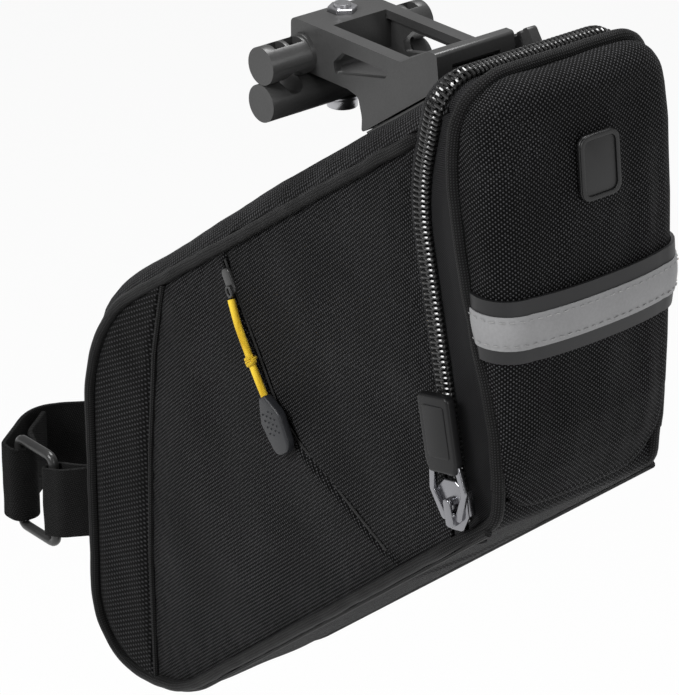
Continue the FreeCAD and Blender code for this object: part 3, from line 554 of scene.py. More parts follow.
def tape(name, dark, light, rib, arm, depth, roughness=0.5):
    """Herringbone tape, its ribs painted lighter as a painted highlight and its furrows darker as painted
    shade; rib is the pitch of the ribs and arm half a chevron's width.
    """
    mat, tree, shader = new_material(name)
    vector = scaled(tree, "UV", (1 / rib, 1 / arm, 1))
    twill = place_group(tree, TWILL, vector, Zigzag=arm / rib * 0.8)
    fuzz = place_group(tree, SPECKLE, scaled(tree, "UV", (1, 1, 1)), Scale=3.0)
    crest = blend_values(tree, twill.outputs["Height"], fuzz.outputs["Grain"], 0.25)
    # Base colour: painted highlight on the rib crests and painted shade in the furrows, plus random fibre
    # fuzz.
    tree.links.new(ramp(tree, crest, dark, light, 0.15, 0.9), shader.inputs["Base Color"])
    shader.inputs["Roughness"].default_value = roughness
    shader.inputs["Specular IOR Level"].default_value = 0.2
    bump(tree, shader, crest, depth)
    return mat


def moulded(name, color, roughness, grain=0.05, scale=2200.0, specular=0.5, spread=0.12):
    """Moulded plastic or rubber: fine grain in colour, gloss and relief."""
    mat, tree, shader = new_material(name)
    spots = place_group(tree, SPECKLE, scaled(tree, "Object", (1, 1, 1)), Scale=scale)
    dark = tuple(c * (1 - spread * 1.6) for c in color)
    light = tuple(c * (1 + spread * 1.6) for c in color)
    shade = blend_values(tree, spots.outputs["Grain"], spots.outputs["Drift"], 0.5)
    tree.links.new(ramp(tree, shade, dark, light, 0.3, 0.7), shader.inputs["Base Color"])
    rough = math_node(tree, "ADD", math_node(tree, "MULTIPLY", shade, spread), roughness - spread / 2)
    tree.links.new(rough, shader.inputs["Roughness"])
    shader.inputs["Specular IOR Level"].default_value = specular
    bump(tree, shader, spots.outputs["Grain"], grain, 0.6)
    return mat


def metal(name, color, roughness, spread=0.16):
    """Plated metal: slow drift in colour and fine grain in gloss."""
    mat, tree, shader = new_material(name)
    spots = place_group(tree, SPECKLE, scaled(tree, "Object", (1, 1, 1)), Scale=900.0)
    dark = tuple(c * 0.8 for c in color)
    shade = ramp(tree, spots.outputs["Drift"], dark, color, 0.35, 0.65)
    tree.links.new(shade, shader.inputs["Base Color"])
    grain = math_node(tree, "MULTIPLY", spots.outputs["Grain"], spread)
    rough = math_node(tree, "ADD", grain, roughness - spread / 2)
    tree.links.new(rough, shader.inputs["Roughness"])
    shader.inputs["Metallic"].default_value = 1.0
    bump(tree, shader, spots.outputs["Grain"], 0.01, 0.4)
    return mat


def grey(value, blue=0.0):
    return (value, value, value + blue)


# Each cloth and tape goes from its first colour, painted shade between the threads, to its second, a
# painted highlight on the crests.
FABRIC = cloth("coarse woven cloth", grey(0.0002, 0.0001), grey(0.105, 0.005), (0.78, 0.66), depth=0.6,
               roughness=0.7, low_thread=0.3, ends=(0.4, 0.86), fuzz_share=0.42, grit=0.85)
MESH = cloth("knitted mesh", grey(0.0003), grey(0.055, 0.003), (1.5, 0.85), depth=0.8, roughness=0.7,
             low_thread=0.06, ends=(0.42, 0.86), fuzz_share=0.2, grit=1.0)
BINDING = cloth("piping tape", grey(0.001), grey(0.038, 0.001), (0.6, 0.6), depth=0.25, roughness=0.5,
                sheen=0.04, low_thread=0.4, turn=0.78, ends=(0.3, 0.9))
CORD = cloth("braided cord", (0.55, 0.33, 0.012), (0.95, 0.68, 0.06), (0.5, 0.5), depth=0.10,
             roughness=0.6, sheen=0.1, low_thread=0.7, turn=0.78)
LOOP = cloth("loop pile", grey(0.0006), grey(0.008), (0.7, 0.7), depth=0.6, roughness=0.85, sheen=0.04,
             low_thread=0.6, turn=0.4)
LINING = cloth("lining cloth", grey(0.004), grey(0.015), (0.4, 0.4), depth=0.1)
ZIP_TAPE = tape("herringbone tape", grey(0.0006), grey(0.03, 0.002), rib=1.3, arm=3.4, depth=0.7)
COIL = moulded("nylon coil", grey(0.012), 0.2, grain=0.02, specular=0.8)
CLIP = moulded("glass-filled plastic", grey(0.042), 0.4, grain=0.06, scale=1500.0)
PULLER = moulded("soft moulded plastic", grey(0.007, 0.0005), 0.4, grain=0.03, specular=0.3)
GRIP = moulded("rubber grip", (0.016, 0.017, 0.02), 0.45, grain=0.03)
PATCH = moulded("plain rubber", grey(0.005, 0.0003), 0.42, grain=0.02)
WEBBING_SMOOTH = moulded("coated strip", grey(0.009, 0.001), 0.5, grain=0.04, scale=900.0)
REFLECTOR = moulded("reflective tape", grey(0.27, 0.005), 0.5, grain=0.03, scale=1200.0, specular=0.4,
                    spread=0.06)
RING = moulded("moulded ring", grey(0.026), 0.3, grain=0.02)
THREAD = moulded("sewing thread", grey(0.004), 0.6)
PALE_THREAD = moulded("grey sewing thread", grey(0.30), 0.6)
BRIGHT = metal("bright zip metal", (0.34, 0.34, 0.36), 0.24)
STEEL = metal("plated steel", (0.5, 0.5, 0.52), 0.3)


# ------------------------------------------------------ camera and cords

CAMERA_TURN = 49.74
CAMERA_RISE = 25.86
CAMERA_LENS = 182.5
CAMERA_DISTANCE = 1.1016
CAMERA_AIM = (-1.3, 0, -96.44)


def add_camera():
    turn = math.radians(CAMERA_TURN)
    rise = math.radians(CAMERA_RISE)
    right = Vector((math.cos(turn), math.sin(turn), 0))
    up = Vector((-math.sin(turn) * math.sin(rise), math.cos(turn) * math.sin(rise), math.cos(rise)))
    back = right.cross(up)
    data = bpy.data.cameras.new("camera")
    data.lens = CAMERA_LENS
    data.clip_end = 20
    camera = new_object("camera", data)
    spot = Vector(CAMERA_AIM) * MM + back * CAMERA_DISTANCE
    camera.matrix_world = Matrix.Translation(spot) @ axes(right, up, back)
    bpy.context.scene.camera = camera


# The cord hangs from the pocket's slider: (X, Z, height above the side cloth).
CORD_ROUTE = [
    (-14.6, -74.9, 3.8), (-11.2, -80.7, 4.4), (-7.4, -85.8, 4.6), (-3.4, -91.2, 4.7),
    (0.2, -96.4, 4.7), (4.0, -101.4, 4.6),
]
CORD_DIAMETER = 2.4


def on_side(x, z, out, side=-1):
    """Point on a side panel, a distance out from it; side is -1 for left and 1 for right."""
    return Vector((x, side * (half_width(x) + out), z))


def pull_cord():
    data = bpy.data.curves.new("pull_cord", "CURVE")
    data.dimensions = "3D"
    data.bevel_depth = CORD_DIAMETER / 2 * MM
    data.bevel_resolution = 4
    data.use_fill_caps = True
    data.resolution_u = 12
    line = data.splines.new("NURBS")
    line.points.add(len(CORD_ROUTE) - 1)
    for point, (x, z, out) in zip(line.points, CORD_ROUTE):
        point.co = (*(on_side(x, z, out) * MM), 1.0)
    line.order_u = 3
    line.use_endpoint_u = True
    cord = new_object("pull_cord_line", data)
    finish_object(cord, CORD, "pocket_puller", ["pull_cord"], smooth=0)
    return cord


def side_place(x, z, out, turn):
    """Frame on the left side panel: X along turn, Y across it, Z outward."""
    along = Vector((math.cos(turn), 0, math.sin(turn)))
    outward = Vector((0, -1, 0))
    taper = Matrix.Rotation(math.radians(-SIDE_ANGLE), 3, "Z")
    along = taper @ along
    outward = taper @ outward
    return Matrix.Translation(on_side(x, z, out)) @ axes(along, outward.cross(along), outward)


def cord_knot():
    """Knot on the cord: a bar wound round it."""
    turns, steps, length = 2.6, 48, 2.4
    x, z, out = CORD_ROUTE[3]
    centre = on_side(x, z, out)
    ahead = (on_side(*CORD_ROUTE[4]) - on_side(*CORD_ROUTE[2])).normalized()
    side = Vector((0, -1, 0)).cross(ahead).normalized()
    loops = []
    for k in range(steps + 1):
        turn = k / steps * turns * 2 * math.pi
        reach = 1.35 + 0.25 * math.sin(turn * 1.5)
        across = side * math.cos(turn) + Vector((0, -1, 0)) * math.sin(turn)
        loops.append(centre + ahead * ((k / steps - 0.5) * length) + across * reach)
    knot = tube("knot", loops, 0.62, 8)
    finish_object(knot, CORD, "pocket_puller", ["cord_knot"])
    return knot


def cord_grip():
    """Moulded grip at the cord's end, with its raised dots."""
    thickness = 3.2
    x, z, out = CORD_ROUTE[-1]
    before = CORD_ROUTE[-2]
    place = side_place(x, z, out, math.atan2(z - before[1], x - before[0]))
    oval = rounded([(-1.0, -1.7, 0.8), (6.0, -5.8, 5.0), (17.8, -4.2, 3.6),
                    (17.8, 4.2, 3.6), (6.0, 5.8, 5.0), (-1.0, 1.7, 0.8)], 0.7)
    grip = slab("grip", oval, thickness, lifted(place, -thickness / 2), 1.1, segments=4)
    spots = [(4 + 2.1 * i + (j % 2), 1.7 * (j - 1.5)) for i in range(4) for j in range(4)]
    dots = copies("grip_dots", bead(0.34, 8, 5),
                  [place @ Matrix.Translation((a, b, thickness / 2)) for a, b in spots])
    grip = join("grip", [grip, dots])
    finish_object(grip, GRIP, "pocket_puller", ["cord_grip"])
    return grip


add_camera()
cord = pull_cord()
cord_bits = [cord_knot(), cord_grip()]


# --------------------------------------------------------- bag's body

def ripple(p, scale, height):
    """Soft unevenness of padded cloth."""
    return noise.noise(Vector(p) / scale) * height


ZIP_EDGE = 4.0
SEAM_TOP_X = -56.8
SEAM_LOW_X = -66.2


def front_seam(path):
    """Line where the side cloth meets the mesh crescent, from the bottom edge to the top."""
    seam = fillet([(flat((-66.5, -229.0)), 0), (flat((-67.4, -190.0)), 90), (flat((-66.0, -150.0)), 120),
                   (flat((-62.5, -112.0)), 60), (flat((-56.5, -84.5)), 0)])
    seam[0] = flat((SEAM_LOW_X, height_on(path, SEAM_LOW_X, False)))
    seam[-1] = flat((SEAM_TOP_X, height_on(path, SEAM_TOP_X, True)))
    return seam


def height_on(path, x, upper):
    """Z of an outline at X, on its upper or lower branch."""
    best = None
    for a, b in zip(path, path[1:]):
        if (a.x - x) * (b.x - x) <= 0 and abs(a.x - b.x) > 1e-9:
            z = a.z + (b.z - a.z) * (x - a.x) / (b.x - a.x)
            if best is None or (z > best) == upper:
                best = z
    return best


def branch(path, x0, x1, upper, count=80):
    """Part of an outline's upper or lower branch, from one X to another."""
    return [flat((x, height_on(path, x, upper))) for x in
            [x0 + (x1 - x0) * k / (count - 1) for k in range(count)]]


def meet_zip(path, low_x, high_x, upper):
    """Point where an outline's branch meets the cloth's edge beside the zip, found by halving."""
    for _ in range(40):
        middle = (low_x + high_x) / 2
        if zip_x(height_on(path, middle, upper)) - ZIP_EDGE > middle:
            low_x = middle
        else:
            high_x = middle
    return flat((low_x, height_on(path, low_x, upper)))


def side_cloth(side, name, path, seam):
    """Padded cloth between the front seam and the zip, pulled in along its edges."""
    foot = meet_zip(path, 60.0, 90.0, False)
    head = meet_zip(path, 60.0, 78.0, True)
    knee = flat((ZIP_KNEE[0] - ZIP_EDGE, ZIP_KNEE[1]))
    beside_zip = fillet([(foot, 0), (knee, ZIP_KNEE_RADIUS / 2), (head, 0)])
    fine = 176 if side < 0 else 90
    grid = coons(branch(path, SEAM_LOW_X, foot.x, False), branch(path, SEAM_TOP_X, head.x, True),
                 seam, beside_zip, fine, fine)
    span, rise, pulled_in = 130, 110, 16.0
    points, uvs = [], []
    for i, column in enumerate(grid):
        u = i / (fine - 1)
        line, uv_line = [], []
        for j, p in enumerate(column):
            v = j / (fine - 1)
            edge = min(1.0, min(u * span, (1 - u) * span, v * rise, (1 - v) * rise) / pulled_in)
            puff = 0.2 + 1.5 * math.sin(edge * math.pi / 2) ** 0.8
            pucker = (1 - edge) * ripple((p.x, 7 * side, p.z), 4.0, 0.5)
            soft = edge * ripple((p.x, 30 * side, p.z), 26.0, 1.3)
            dent = pocket_dent(p.x, p.z) if side < 0 else 0.0
            line.append(on_side(p.x, p.z, puff + pucker + soft + dent, side))
            uv_line.append((p.x + 0.015 * p.z, p.z))
        points.append(line)
        uvs.append(uv_line)
    obj = sheet("side_cloth_" + name, points, uvs, thickness=CLOTH_WALL)
    finish_object(obj, FABRIC, "bag", ["side_panel_" + name])


def mesh_crescent(side, name, path, seam):
    """Knitted mesh between the front piping and the seam."""
    front = [p for p in path if p.x < -20]
    top_i = min(range(len(front)),
                key=lambda k: abs(front[k].x - SEAM_TOP_X) + (0 if front[k].z > -150 else 999))
    low_i = min(range(len(front)),
                key=lambda k: abs(front[k].x - SEAM_LOW_X) + (0 if front[k].z < -200 else 999))
    arc = front[top_i:low_i + 1]
    arc.reverse()
    arc[0] = seam[0]
    arc[-1] = seam[-1]
    rows, steps = 60, 24
    grid, uvs = [], []
    for outer, inner in zip(resample(arc, rows), resample(seam, rows)):
        line, uv_line = [], []
        for j in range(steps):
            v = j / (steps - 1)
            p = outer.lerp(inner, v)
            edge = min(1.0, min(v, 1 - v) * 5)
            puff = 0.15 + 1.6 * math.sin(edge * math.pi / 2) - 0.25 * (v > 0.98)
            line.append(on_side(p.x, p.z, puff + ripple((p.x, 0, p.z), 14.0, 0.5) * edge, side))
            uv_line.append((p.x, p.z))
        grid.append(line)
        uvs.append(uv_line)
    obj = sheet("mesh_crescent_" + name, grid, uvs, thickness=1.2)
    finish_object(obj, MESH, "bag", ["trim_" + name])


def side_panel(side):
    """One side: padded cloth, mesh crescent and the bound seam between them."""
    name = "left" if side < 0 else "right"
    path = side_path(PIPING - 0.3, 110.0, 118.0)
    seam = front_seam(path)
    side_cloth(side, name, path, seam)
    mesh_crescent(side, name, path, seam)
    line = [on_side(p.x + 0.9, p.z, 1.0, side) for p in resample(seam, 120)]
    fold = tube("seam_fold_" + name, line, 0.9, 10)
    finish_object(fold, BINDING, "bag")


POCKET_LINE = [(-21.5, -64.5), (-14.0, -76.0), (-3.0, -92.0), (6.5, -106.0), (16.5, -112.6),
               (31.7, -118.6), (46.0, -125.0), (60.0, -131.0)]


def pocket_dent(x, z):
    """How far the cloth dips beside the pocket's slit; the lower lip stands a little proud."""
    best = 99.0
    under = 0.0
    for (ax, az), (bx, bz) in zip(POCKET_LINE, POCKET_LINE[1:]):
        dx, dz = bx - ax, bz - az
        k = clamp(((x - ax) * dx + (z - az) * dz) / (dx * dx + dz * dz))
        away = math.hypot(x - ax - k * dx, z - az - k * dz)
        if away < best:
            best = away
            under = (x - ax) * dz - (z - az) * dx
    lip = 0.4 if under > 0 else -0.3
    deep = 1.6 if x < 22 else 1.0
    return -deep * math.exp(-(best / 1.0) ** 2) + lip * math.exp(-(best / 7.0) ** 2)


def band_reach(p, outward, run):
    """How far the band stands off its path in the middle of its width."""
    if outward.x < -0.5 and outward.z < 0.55:
        return 1.0 + 2.5 * max(0.0, outward.z)
    if outward.z > 0.5:
        reach = 5.5 + 2.6 * clamp((p.x + 60) / 60.0)
        return reach + 1.6 * (1 - run / 14) if run < 14 else reach
    return 1.0 if p.x < 60 else 0.2


def gusset_band():
    """Cloth band over the top, round the front and under the bottom."""
    top_front, low_front, low_rear, under = outline_corners(0.0)
    heel_x = 106.6
    heel = (heel_x, under[1] + heel_x * BOTTOM_RISE)
    tuck = (heel_x - 0.8, heel[1] + 7.5)
    path = resample(fillet([
        (flat(slope(104.5, 0.0)), 0), (flat(top_front), TOP_FRONT_RADIUS),
        (flat(low_front), LOW_FRONT_RADIUS), (flat(low_rear), LOW_REAR_RADIUS),
        (flat(heel), 7.0), (flat(tuck), 0)]), 260)
    across = 44
    seam_at = None
    columns, uvs = [], []
    run = 0.0
    for i, p in enumerate(path):
        ahead = path[min(i + 1, len(path) - 1)]
        behind = path[max(i - 1, 0)]
        tangent = (ahead - behind).normalized()
        outward = Vector((-tangent.z, 0, tangent.x))
        if outward.dot(p - Vector((20, 0, -100))) < 0:
            outward = -outward
        if i:
            run += (p - path[i - 1]).length
        on_top = outward.z > 0.5
        under_bracket = on_top and 22 < p.x < 66
        reach = band_reach(p, outward, run)
        flatness = 7.0 if on_top else 2.6
        half = half_width(p.x) + 0.6
        if p.x > 84 and p.z < -60:
            half -= REAR_TUCK * ease(min(1.0, (p.x - 84.0) / 25.0))
        line, uv_line = [], []
        for j in range(across):
            share = -1 + 2 * j / (across - 1)
            lift = reach * (1 - abs(share) ** flatness)
            pucker = ripple((run, share * 20, 3), 5.0, 0.35) * abs(share) ** 4
            soft = ripple((run, share * half, 9), 22.0, 0.6) * (1 - share * share)
            if under_bracket and abs(share * half) < 18:
                soft = min(0.0, soft) - 0.05
            line.append(p + outward * (lift + pucker + soft - 0.2) + Vector((0, share * half, 0)))
            uv_line.append((share * half, run))
        columns.append(line)
        uvs.append(uv_line)
        if seam_at is None and p.z < -215 and p.x < -60:
            seam_at = i
    for name, node, part in (("band_top", "top_gusset", slice(None, seam_at + 1)),
                             ("band_bottom", "bottom_panel", slice(seam_at, None))):
        obj = sheet(name, columns[part], uvs[part], thickness=CLOTH_WALL)
        finish_object(obj, FABRIC, "bag", [node])
    fold = tube("band_seam", [p + Vector((-0.1, 0, 0)) for p in columns[seam_at]], 0.5, 8)
    finish_object(fold, BINDING, "bag")


def piping_tuck(p):
    """How far the piping turns in towards the middle, at the zip's arch and at the cover's foot."""
    at_arch = clamp((p.x - 66.0) / 9.0) if p.z > -30 else 0.0
    at_foot = clamp((p.x - 84.0) / 22.0) if p.z < -60 else 0.0
    return 5.0 * at_arch * at_arch + REAR_TUCK * ease(at_foot)


def pipings():
    """Piping round both sides, each with its sewn flange behind it."""
    r = PIPING / 2
    for name, side in (("left", -1), ("right", 1)):
        line = [on_side(p.x, p.z, r - 1.0, side) for p in side_path(r + 0.3, 93.0, 105.6, 11.0)]
        line = [p - Vector((0, side * piping_tuck(p), 0)) for p in resample(line, 300)]
        line = [p + Vector((0, side * ripple((p.x, 0, p.z), 9.0, 0.35), ripple((p.x, 5, p.z), 8.0, 0.3)))
                for p in line]
        obj = tube("cord_edge_" + name, line, r, 14)
        finish_object(obj, BINDING, "bag", ["piping_" + name])
        line = [on_side(p.x, p.z, -1.6, side) for p in side_path(0.5, 88.0, 104.0)]
        flange = tube("cord_flange_" + name, resample(line, 240), 1.3, 10)
        finish_object(flange, BINDING, "bag")


# --------------------------------------------------------------- zip chain

CHAIN_PITCH = 1.6
CHAIN_HALF = 34.3


def chain_line(low):
    """Dense line of the chain up one side, over the top and down the other."""
    run = [((zip_x(low), low), 0), (ZIP_KNEE, ZIP_KNEE_RADIUS), (ZIP_TOP, ZIP_TOP_RADIUS)]
    up, down = [[(Vector((x, side * CHAIN_HALF, z)), r) for (x, z), r in run] for side in (-1, 1)]
    return fillet(up + down[::-1], False, 1.0)


def chain_frames(pitch, offset, low=ZIP_FOOT[1]):
    """Places along the chain: X across it (rearward), Y along it, Z outward."""
    line = chain_line(low)
    count = int(length_of(line) / pitch)
    spots = resample(line, count * 2 + 1)
    frames = []
    for k in range(offset, len(spots) - 1, 2):
        along = (spots[k + 1] - spots[max(k - 1, 0)]).normalized()
        across = Vector((1, 0, 0))
        across = (across - along * across.dot(along)).normalized()
        frames.append(Matrix.Translation(spots[k]) @ axes(across, along, across.cross(along)))
    return frames


def coil_tooth(sign):
    """One turn of the coil: a bent bar from the tape to just past the middle."""
    points = fillet([(Vector((sign * 2.7, 0.0, -0.9)), 0), (Vector((sign * 3.0, 0.0, 0.7)), 0.9),
                     (Vector((sign * 1.2, 0.1, 1.35)), 0.8), (Vector((-sign * 0.6, 0.0, 0.75)), 0.6),
                     (Vector((-sign * 0.8, 0.0, -0.6)), 0)], False, 0.6)
    obj = tube("tooth", points, 0.52, 7)
    for v in obj.data.vertices:
        v.co = v.co / MM
    return obj


def zip_chain():
    """Both halves of the coil, each turn a copy of one tooth, and the core each is sewn to."""
    for name, node, sign, offset, body in (
            ("coil_front", "zip_coil_body", -1, 0, "bag"), ("coil_rear", "zip_coil_cover", 1, 1, "cover")):
        obj = copies(name, coil_tooth(sign), chain_frames(CHAIN_PITCH, offset))
        finish_object(obj, COIL, body, [node])
    for name, sign, body in (("tape_core_front", -1, "bag"), ("tape_core_rear", 1, "cover")):
        core = [place @ Vector((sign * 2.0, 0, 0.1)) for place in chain_frames(CHAIN_PITCH, 0)]
        obj = tube(name, core, 0.55, 8)
        finish_object(obj, THREAD, body)


def tape_strip(name, near, far, body, node, widths=None):
    """Zip tape beside the chain; near and far are distances behind the chain's middle."""
    places = chain_frames(2.2, 0, -113.5)
    columns, uvs = [], []
    steps = 8
    run = 0.0
    last = None
    for place in places:
        spot = place.to_translation()
        if last is not None:
            run += (spot - last).length
        last = spot
        reach = far if widths is None else widths(spot)
        line, uv_line = [], []
        for j in range(steps):
            share = j / (steps - 1)
            x = near + (reach - near) * share
            lift = -0.7 + 0.5 * math.sin(share * math.pi)
            if near > 0:
                lift -= (COVER_HALF - cover_half(spot.z)) * share
            line.append(place @ Vector((x, 0, lift)))
            uv_line.append((run, x - near))
        columns.append(line)
        uvs.append(uv_line)
    obj = sheet(name, columns, uvs, thickness=0.8)
    finish_object(obj, ZIP_TAPE, body, [node])


def cover_tape_width(spot):
    """The rear tape reaches the cover's piping, or the bottom piping below it."""
    if spot.z > 16.0:
        return 8.0
    edge = min(front_x(spot.z), (spot.z + BOTTOM_DROP) / BOTTOM_RISE - 1.5)
    return max(3.0, edge + 0.8 - spot.x)


def zip_tapes():
    tape_strip("tape_front", -1.2, -5.6, "bag", "zip_tape_body")
    tape_strip("tape_rear", 1.2, 14.6, "cover", "zip_tape_cover", cover_tape_width)


# --------------------------------------------------------------- rear cover

COVER_HALF = 35.4
COVER_TOP = 28.0
COVER_LOW = -101.0
COVER_MIDDLE = Vector((60, 0, -35))
FACE_DROP = 4.8
EDGE_SWELL = 0.9
EDGE_RADIUS = 9.0
# (Z, X) of the rear face at its middle, and of the seam at the cover's front edge
FACE_LINE = [(-104.0, 106.0), (-97.0, 109.8), (-88.0, 112.0), (-75.0, 113.6), (-41.0, 113.4), (5.0, 109.2),
             (28.0, 104.4)]
SEAM_LINE = [(-99.0, 104.6), (-88.0, 105.4), (-78.0, 104.9), (-63.0, 102.6), (-49.0, 98.6), (-28.0, 94.2),
             (-14.0, 91.6), (-2.0, 89.4), (6.0, 88.6), (14.0, 89.0), (22.0, 90.4), (30.0, 92.6)]


def between(table, value):
    """Value from a short table of (place, value), its corners slightly eased."""
    if value <= table[0][0]:
        return table[0][1]
    for (a, va), (b, vb) in zip(table, table[1:]):
        if value <= b:
            share = (value - a) / (b - a)
            share = ease(share) * 0.2 + share * 0.8
            return va + (vb - va) * share
    return table[-1][1]


def face_x(y, z):
    """X of the cover's rear face."""
    return between(FACE_LINE, z) - FACE_DROP * (abs(y) / 36.0) ** 2.4


def front_x(z):
    """X of the cover's front seam."""
    return between(SEAM_LINE, z)


def cover_half(z):
    """Half width of the cover: it narrows towards its lower end."""
    return COVER_HALF - REAR_TUCK * clamp((-18.0 - z) / 80.0)


def cover_wrinkle(y, z):
    """Soft upright folds below and above the band."""
    fold = noise.noise(Vector((y / 9.0, 4.0, z / 46.0))) * 1.5
    soft = noise.noise(Vector((y / 24.0, 9.0, z / 30.0))) * 1.3
    calm = 1 - math.exp(-((z + 41) / 13.0) ** 2)
    return (fold * 0.7 + soft) * (0.15 + 0.85 * calm)


def cover_column(p, outward):
    """One line of the shell, from its front seam round the edge to the middle of its face."""
    side_steps, turn_steps, face_steps = 7, 6, 22
    start = front_x(p.z)
    radius = max(2.5, min(EDGE_RADIUS, (face_x(p.x * 0.75, p.z) - start) * 0.62))
    inner = p - outward * radius
    deep = face_x(inner.x, inner.z)
    flat_run = deep - radius - start
    line, uv_line = [], []
    for k in range(side_steps):
        share = k / side_steps
        swell = (EDGE_SWELL * math.sin(share * math.pi * 0.5)
                 + ripple((start + flat_run * share, p.x, p.z), 12, 0.5))
        q = p + outward * (swell * min(1.0, share * 3))
        line.append(Vector((start + flat_run * share, q.x, q.z)))
        past = flat_run * (1 - share) + radius * 0.57
        uv_line.append((p.x + outward.x * past, p.z + outward.z * past))
    for k in range(turn_steps + 1):
        turn = k / turn_steps * math.pi / 2
        q = inner + outward * (radius * math.cos(turn) + EDGE_SWELL * math.cos(turn))
        line.append(Vector((deep - radius + radius * math.sin(turn), q.x, q.z)))
        past = radius * (math.pi / 2 - turn)
        uv_line.append((inner.x + outward.x * past, inner.z + outward.z * past))
    spine = Vector((0, 0, max(-70.0, min(0.0, inner.z))))
    for k in range(1, face_steps + 1):
        q = inner.lerp(spine, k / face_steps)
        away = min(1.0, k / 5)
        line.append(Vector((face_x(q.x, q.z) + cover_wrinkle(q.x, q.z) * away, q.x, q.z)))
        uv_line.append((q.x, q.z))
    return line, uv_line


def cover_shell():
    """Padded rear cover: side walls, rounded edge and wrinkled face in one cloth."""
    loop = rounded([(-COVER_HALF, COVER_LOW, 17.0), (COVER_HALF, COVER_LOW, 17.0),
                    (COVER_HALF, COVER_TOP, 14.0), (-COVER_HALF, COVER_TOP, 14.0)], 1.5)
    loop = [Vector((p.x, 0, p.y)) for p in loop]
    loop = resample(loop, 200, True)
    loop = [Vector((p.x * cover_half(p.z) / COVER_HALF, 0, p.z)) for p in loop]
    columns, uvs = [], []
    for i, p in enumerate(loop):
        tangent = (loop[(i + 1) % len(loop)] - loop[i - 1]).normalized()
        outward = Vector((tangent.z, 0, -tangent.x))
        if outward.dot(p - Vector((0, 0, COVER_MIDDLE.z))) < 0:
            outward = -outward
        line, uv_line = cover_column(p, outward)
        columns.append(line)
        uvs.append(uv_line)
    obj = sheet("cover_cloth", columns, uvs, True, middle=COVER_MIDDLE)
    bm = bmesh.new()
    bm.from_mesh(obj.data)
    bmesh.ops.remove_doubles(bm, verts=bm.verts, dist=0.00005)
    bm.to_mesh(obj.data)
    bm.free()
    give_wall(obj, CLOTH_WALL)
    finish_object(obj, FABRIC, "cover", ["rear_cover"], 60)


def cover_piping():
    r = PIPING / 2 + 0.2
    out = COVER_HALF + 0.4
    heights = [-92.0 + 4.0 * k for k in range(26)]
    left = [Vector((front_x(z) + 0.9, -out + COVER_HALF - cover_half(z), z)) for z in heights]
    right = [Vector((p.x, -p.y, p.z)) for p in left]
    arch = fillet([(left[-1], 0), (Vector((90.5, -out, COVER_TOP + 1.2)), 15.0),
                   (Vector((90.5, out, COVER_TOP + 1.2)), 15.0), (right[-1], 0)])
    arch = [Vector((front_x(p.z) + 0.9, p.y, p.z)) for p in arch]
    line = resample(left[:-1] + arch + right[:-1][::-1], 300)
    line = [p + Vector((ripple((p.y, 3, p.z), 9.0, 0.4), 0, 0)) for p in line]
    obj = tube("cover_cord_edge", line, r, 14)
    finish_object(obj, BINDING, "cover", ["cover_piping"])
    ahead = [p + Vector((-2.0, 0, 0)) - Vector((0, p.y, p.z + 35)).normalized() * 1.4 for p in line]
    flange = tube("cover_flange", ahead, 1.0, 8)
    finish_object(flange, BINDING, "cover")


def band_line(z, offset):
    """Plan line of the cover at a height, round both upright edges, moved outward."""
    side_steps, turn_steps, face_steps = 6, 8, 14
    half = cover_half(z)
    inner_y = half - EDGE_RADIUS
    deep = face_x(inner_y, z)
    start = front_x(z) + 2.2
    points = []
    for k in range(side_steps):
        share = k / side_steps
        points.append(Vector((start + (deep - EDGE_RADIUS - start) * share,
                              -(half + EDGE_SWELL * math.sin(share * math.pi / 2)), z)))
    for k in range(turn_steps + 1):
        turn = k / turn_steps * math.pi / 2
        points.append(Vector((deep - EDGE_RADIUS + EDGE_RADIUS * math.sin(turn),
                              -(inner_y + (EDGE_RADIUS + EDGE_SWELL) * math.cos(turn)), z)))
    for k in range(1, face_steps):
        y = -inner_y + inner_y * k / face_steps
        points.append(Vector((face_x(y, z) + 0.15, y, z)))
    mirror = [Vector((p.x, -p.y, p.z)) for p in points]
    points = points + [Vector((face_x(0, z) + 0.15, 0, z))] + mirror[::-1]
    moved = []
    for i, p in enumerate(points):
        tangent = points[min(i + 1, len(points) - 1)] - points[max(i - 1, 0)]
        outward = Vector((tangent.y, -tangent.x, 0)).normalized()
        if outward.dot(p - Vector((80, 0, z))) < 0:
            outward = -outward
        moved.append(p + outward * offset)
    return moved


def band(name, low, high, offset, thickness, mat, node):
    """Strip sewn across the cover between two heights."""
    rows = 7
    columns = []
    for j in range(rows):
        z = low + (high - low) * j / (rows - 1)
        dome = 0.35 * math.sin(math.pi * j / (rows - 1))
        columns.append(band_line(z, offset + thickness + dome))
    grid = [[columns[j][i] for j in range(rows)] for i in range(len(columns[0]))]
    uvs = []
    run = 0.0
    for i, line in enumerate(grid):
        if i:
            run += (line[0] - grid[i - 1][0]).length
        uvs.append([(run, p.z) for p in line])
    obj = sheet(name, grid, uvs, thickness=thickness, middle=Vector((60, 0, -41)))
    finish_object(obj, mat, "cover", [node])


def stitch_row(name, points, outward, length, gap, radius, mat, body, lean=0.0):
    """Row of thread stitches lying on a line."""
    count = int(length_of(points) / (length + gap))
    spots = resample(points, count * 3 + 1)
    stitch = bead(1.0, 6, 5)
    size = Matrix.Diagonal((length / 2, radius, radius, 1))
    places = []
    for k in range(1, len(spots) - 1, 3):
        along = (spots[k + 1] - spots[k - 1]).normalized()
        out = outward(spots[k], along)
        across = out.cross(along)
        tilt = (along + across * lean * (1 if (k // 3) % 2 else -1)).normalized()
        places.append(Matrix.Translation(spots[k]) @ axes(tilt, out.cross(tilt), out) @ size)
    obj = copies(name, stitch, places)
    finish_object(obj, mat, body)


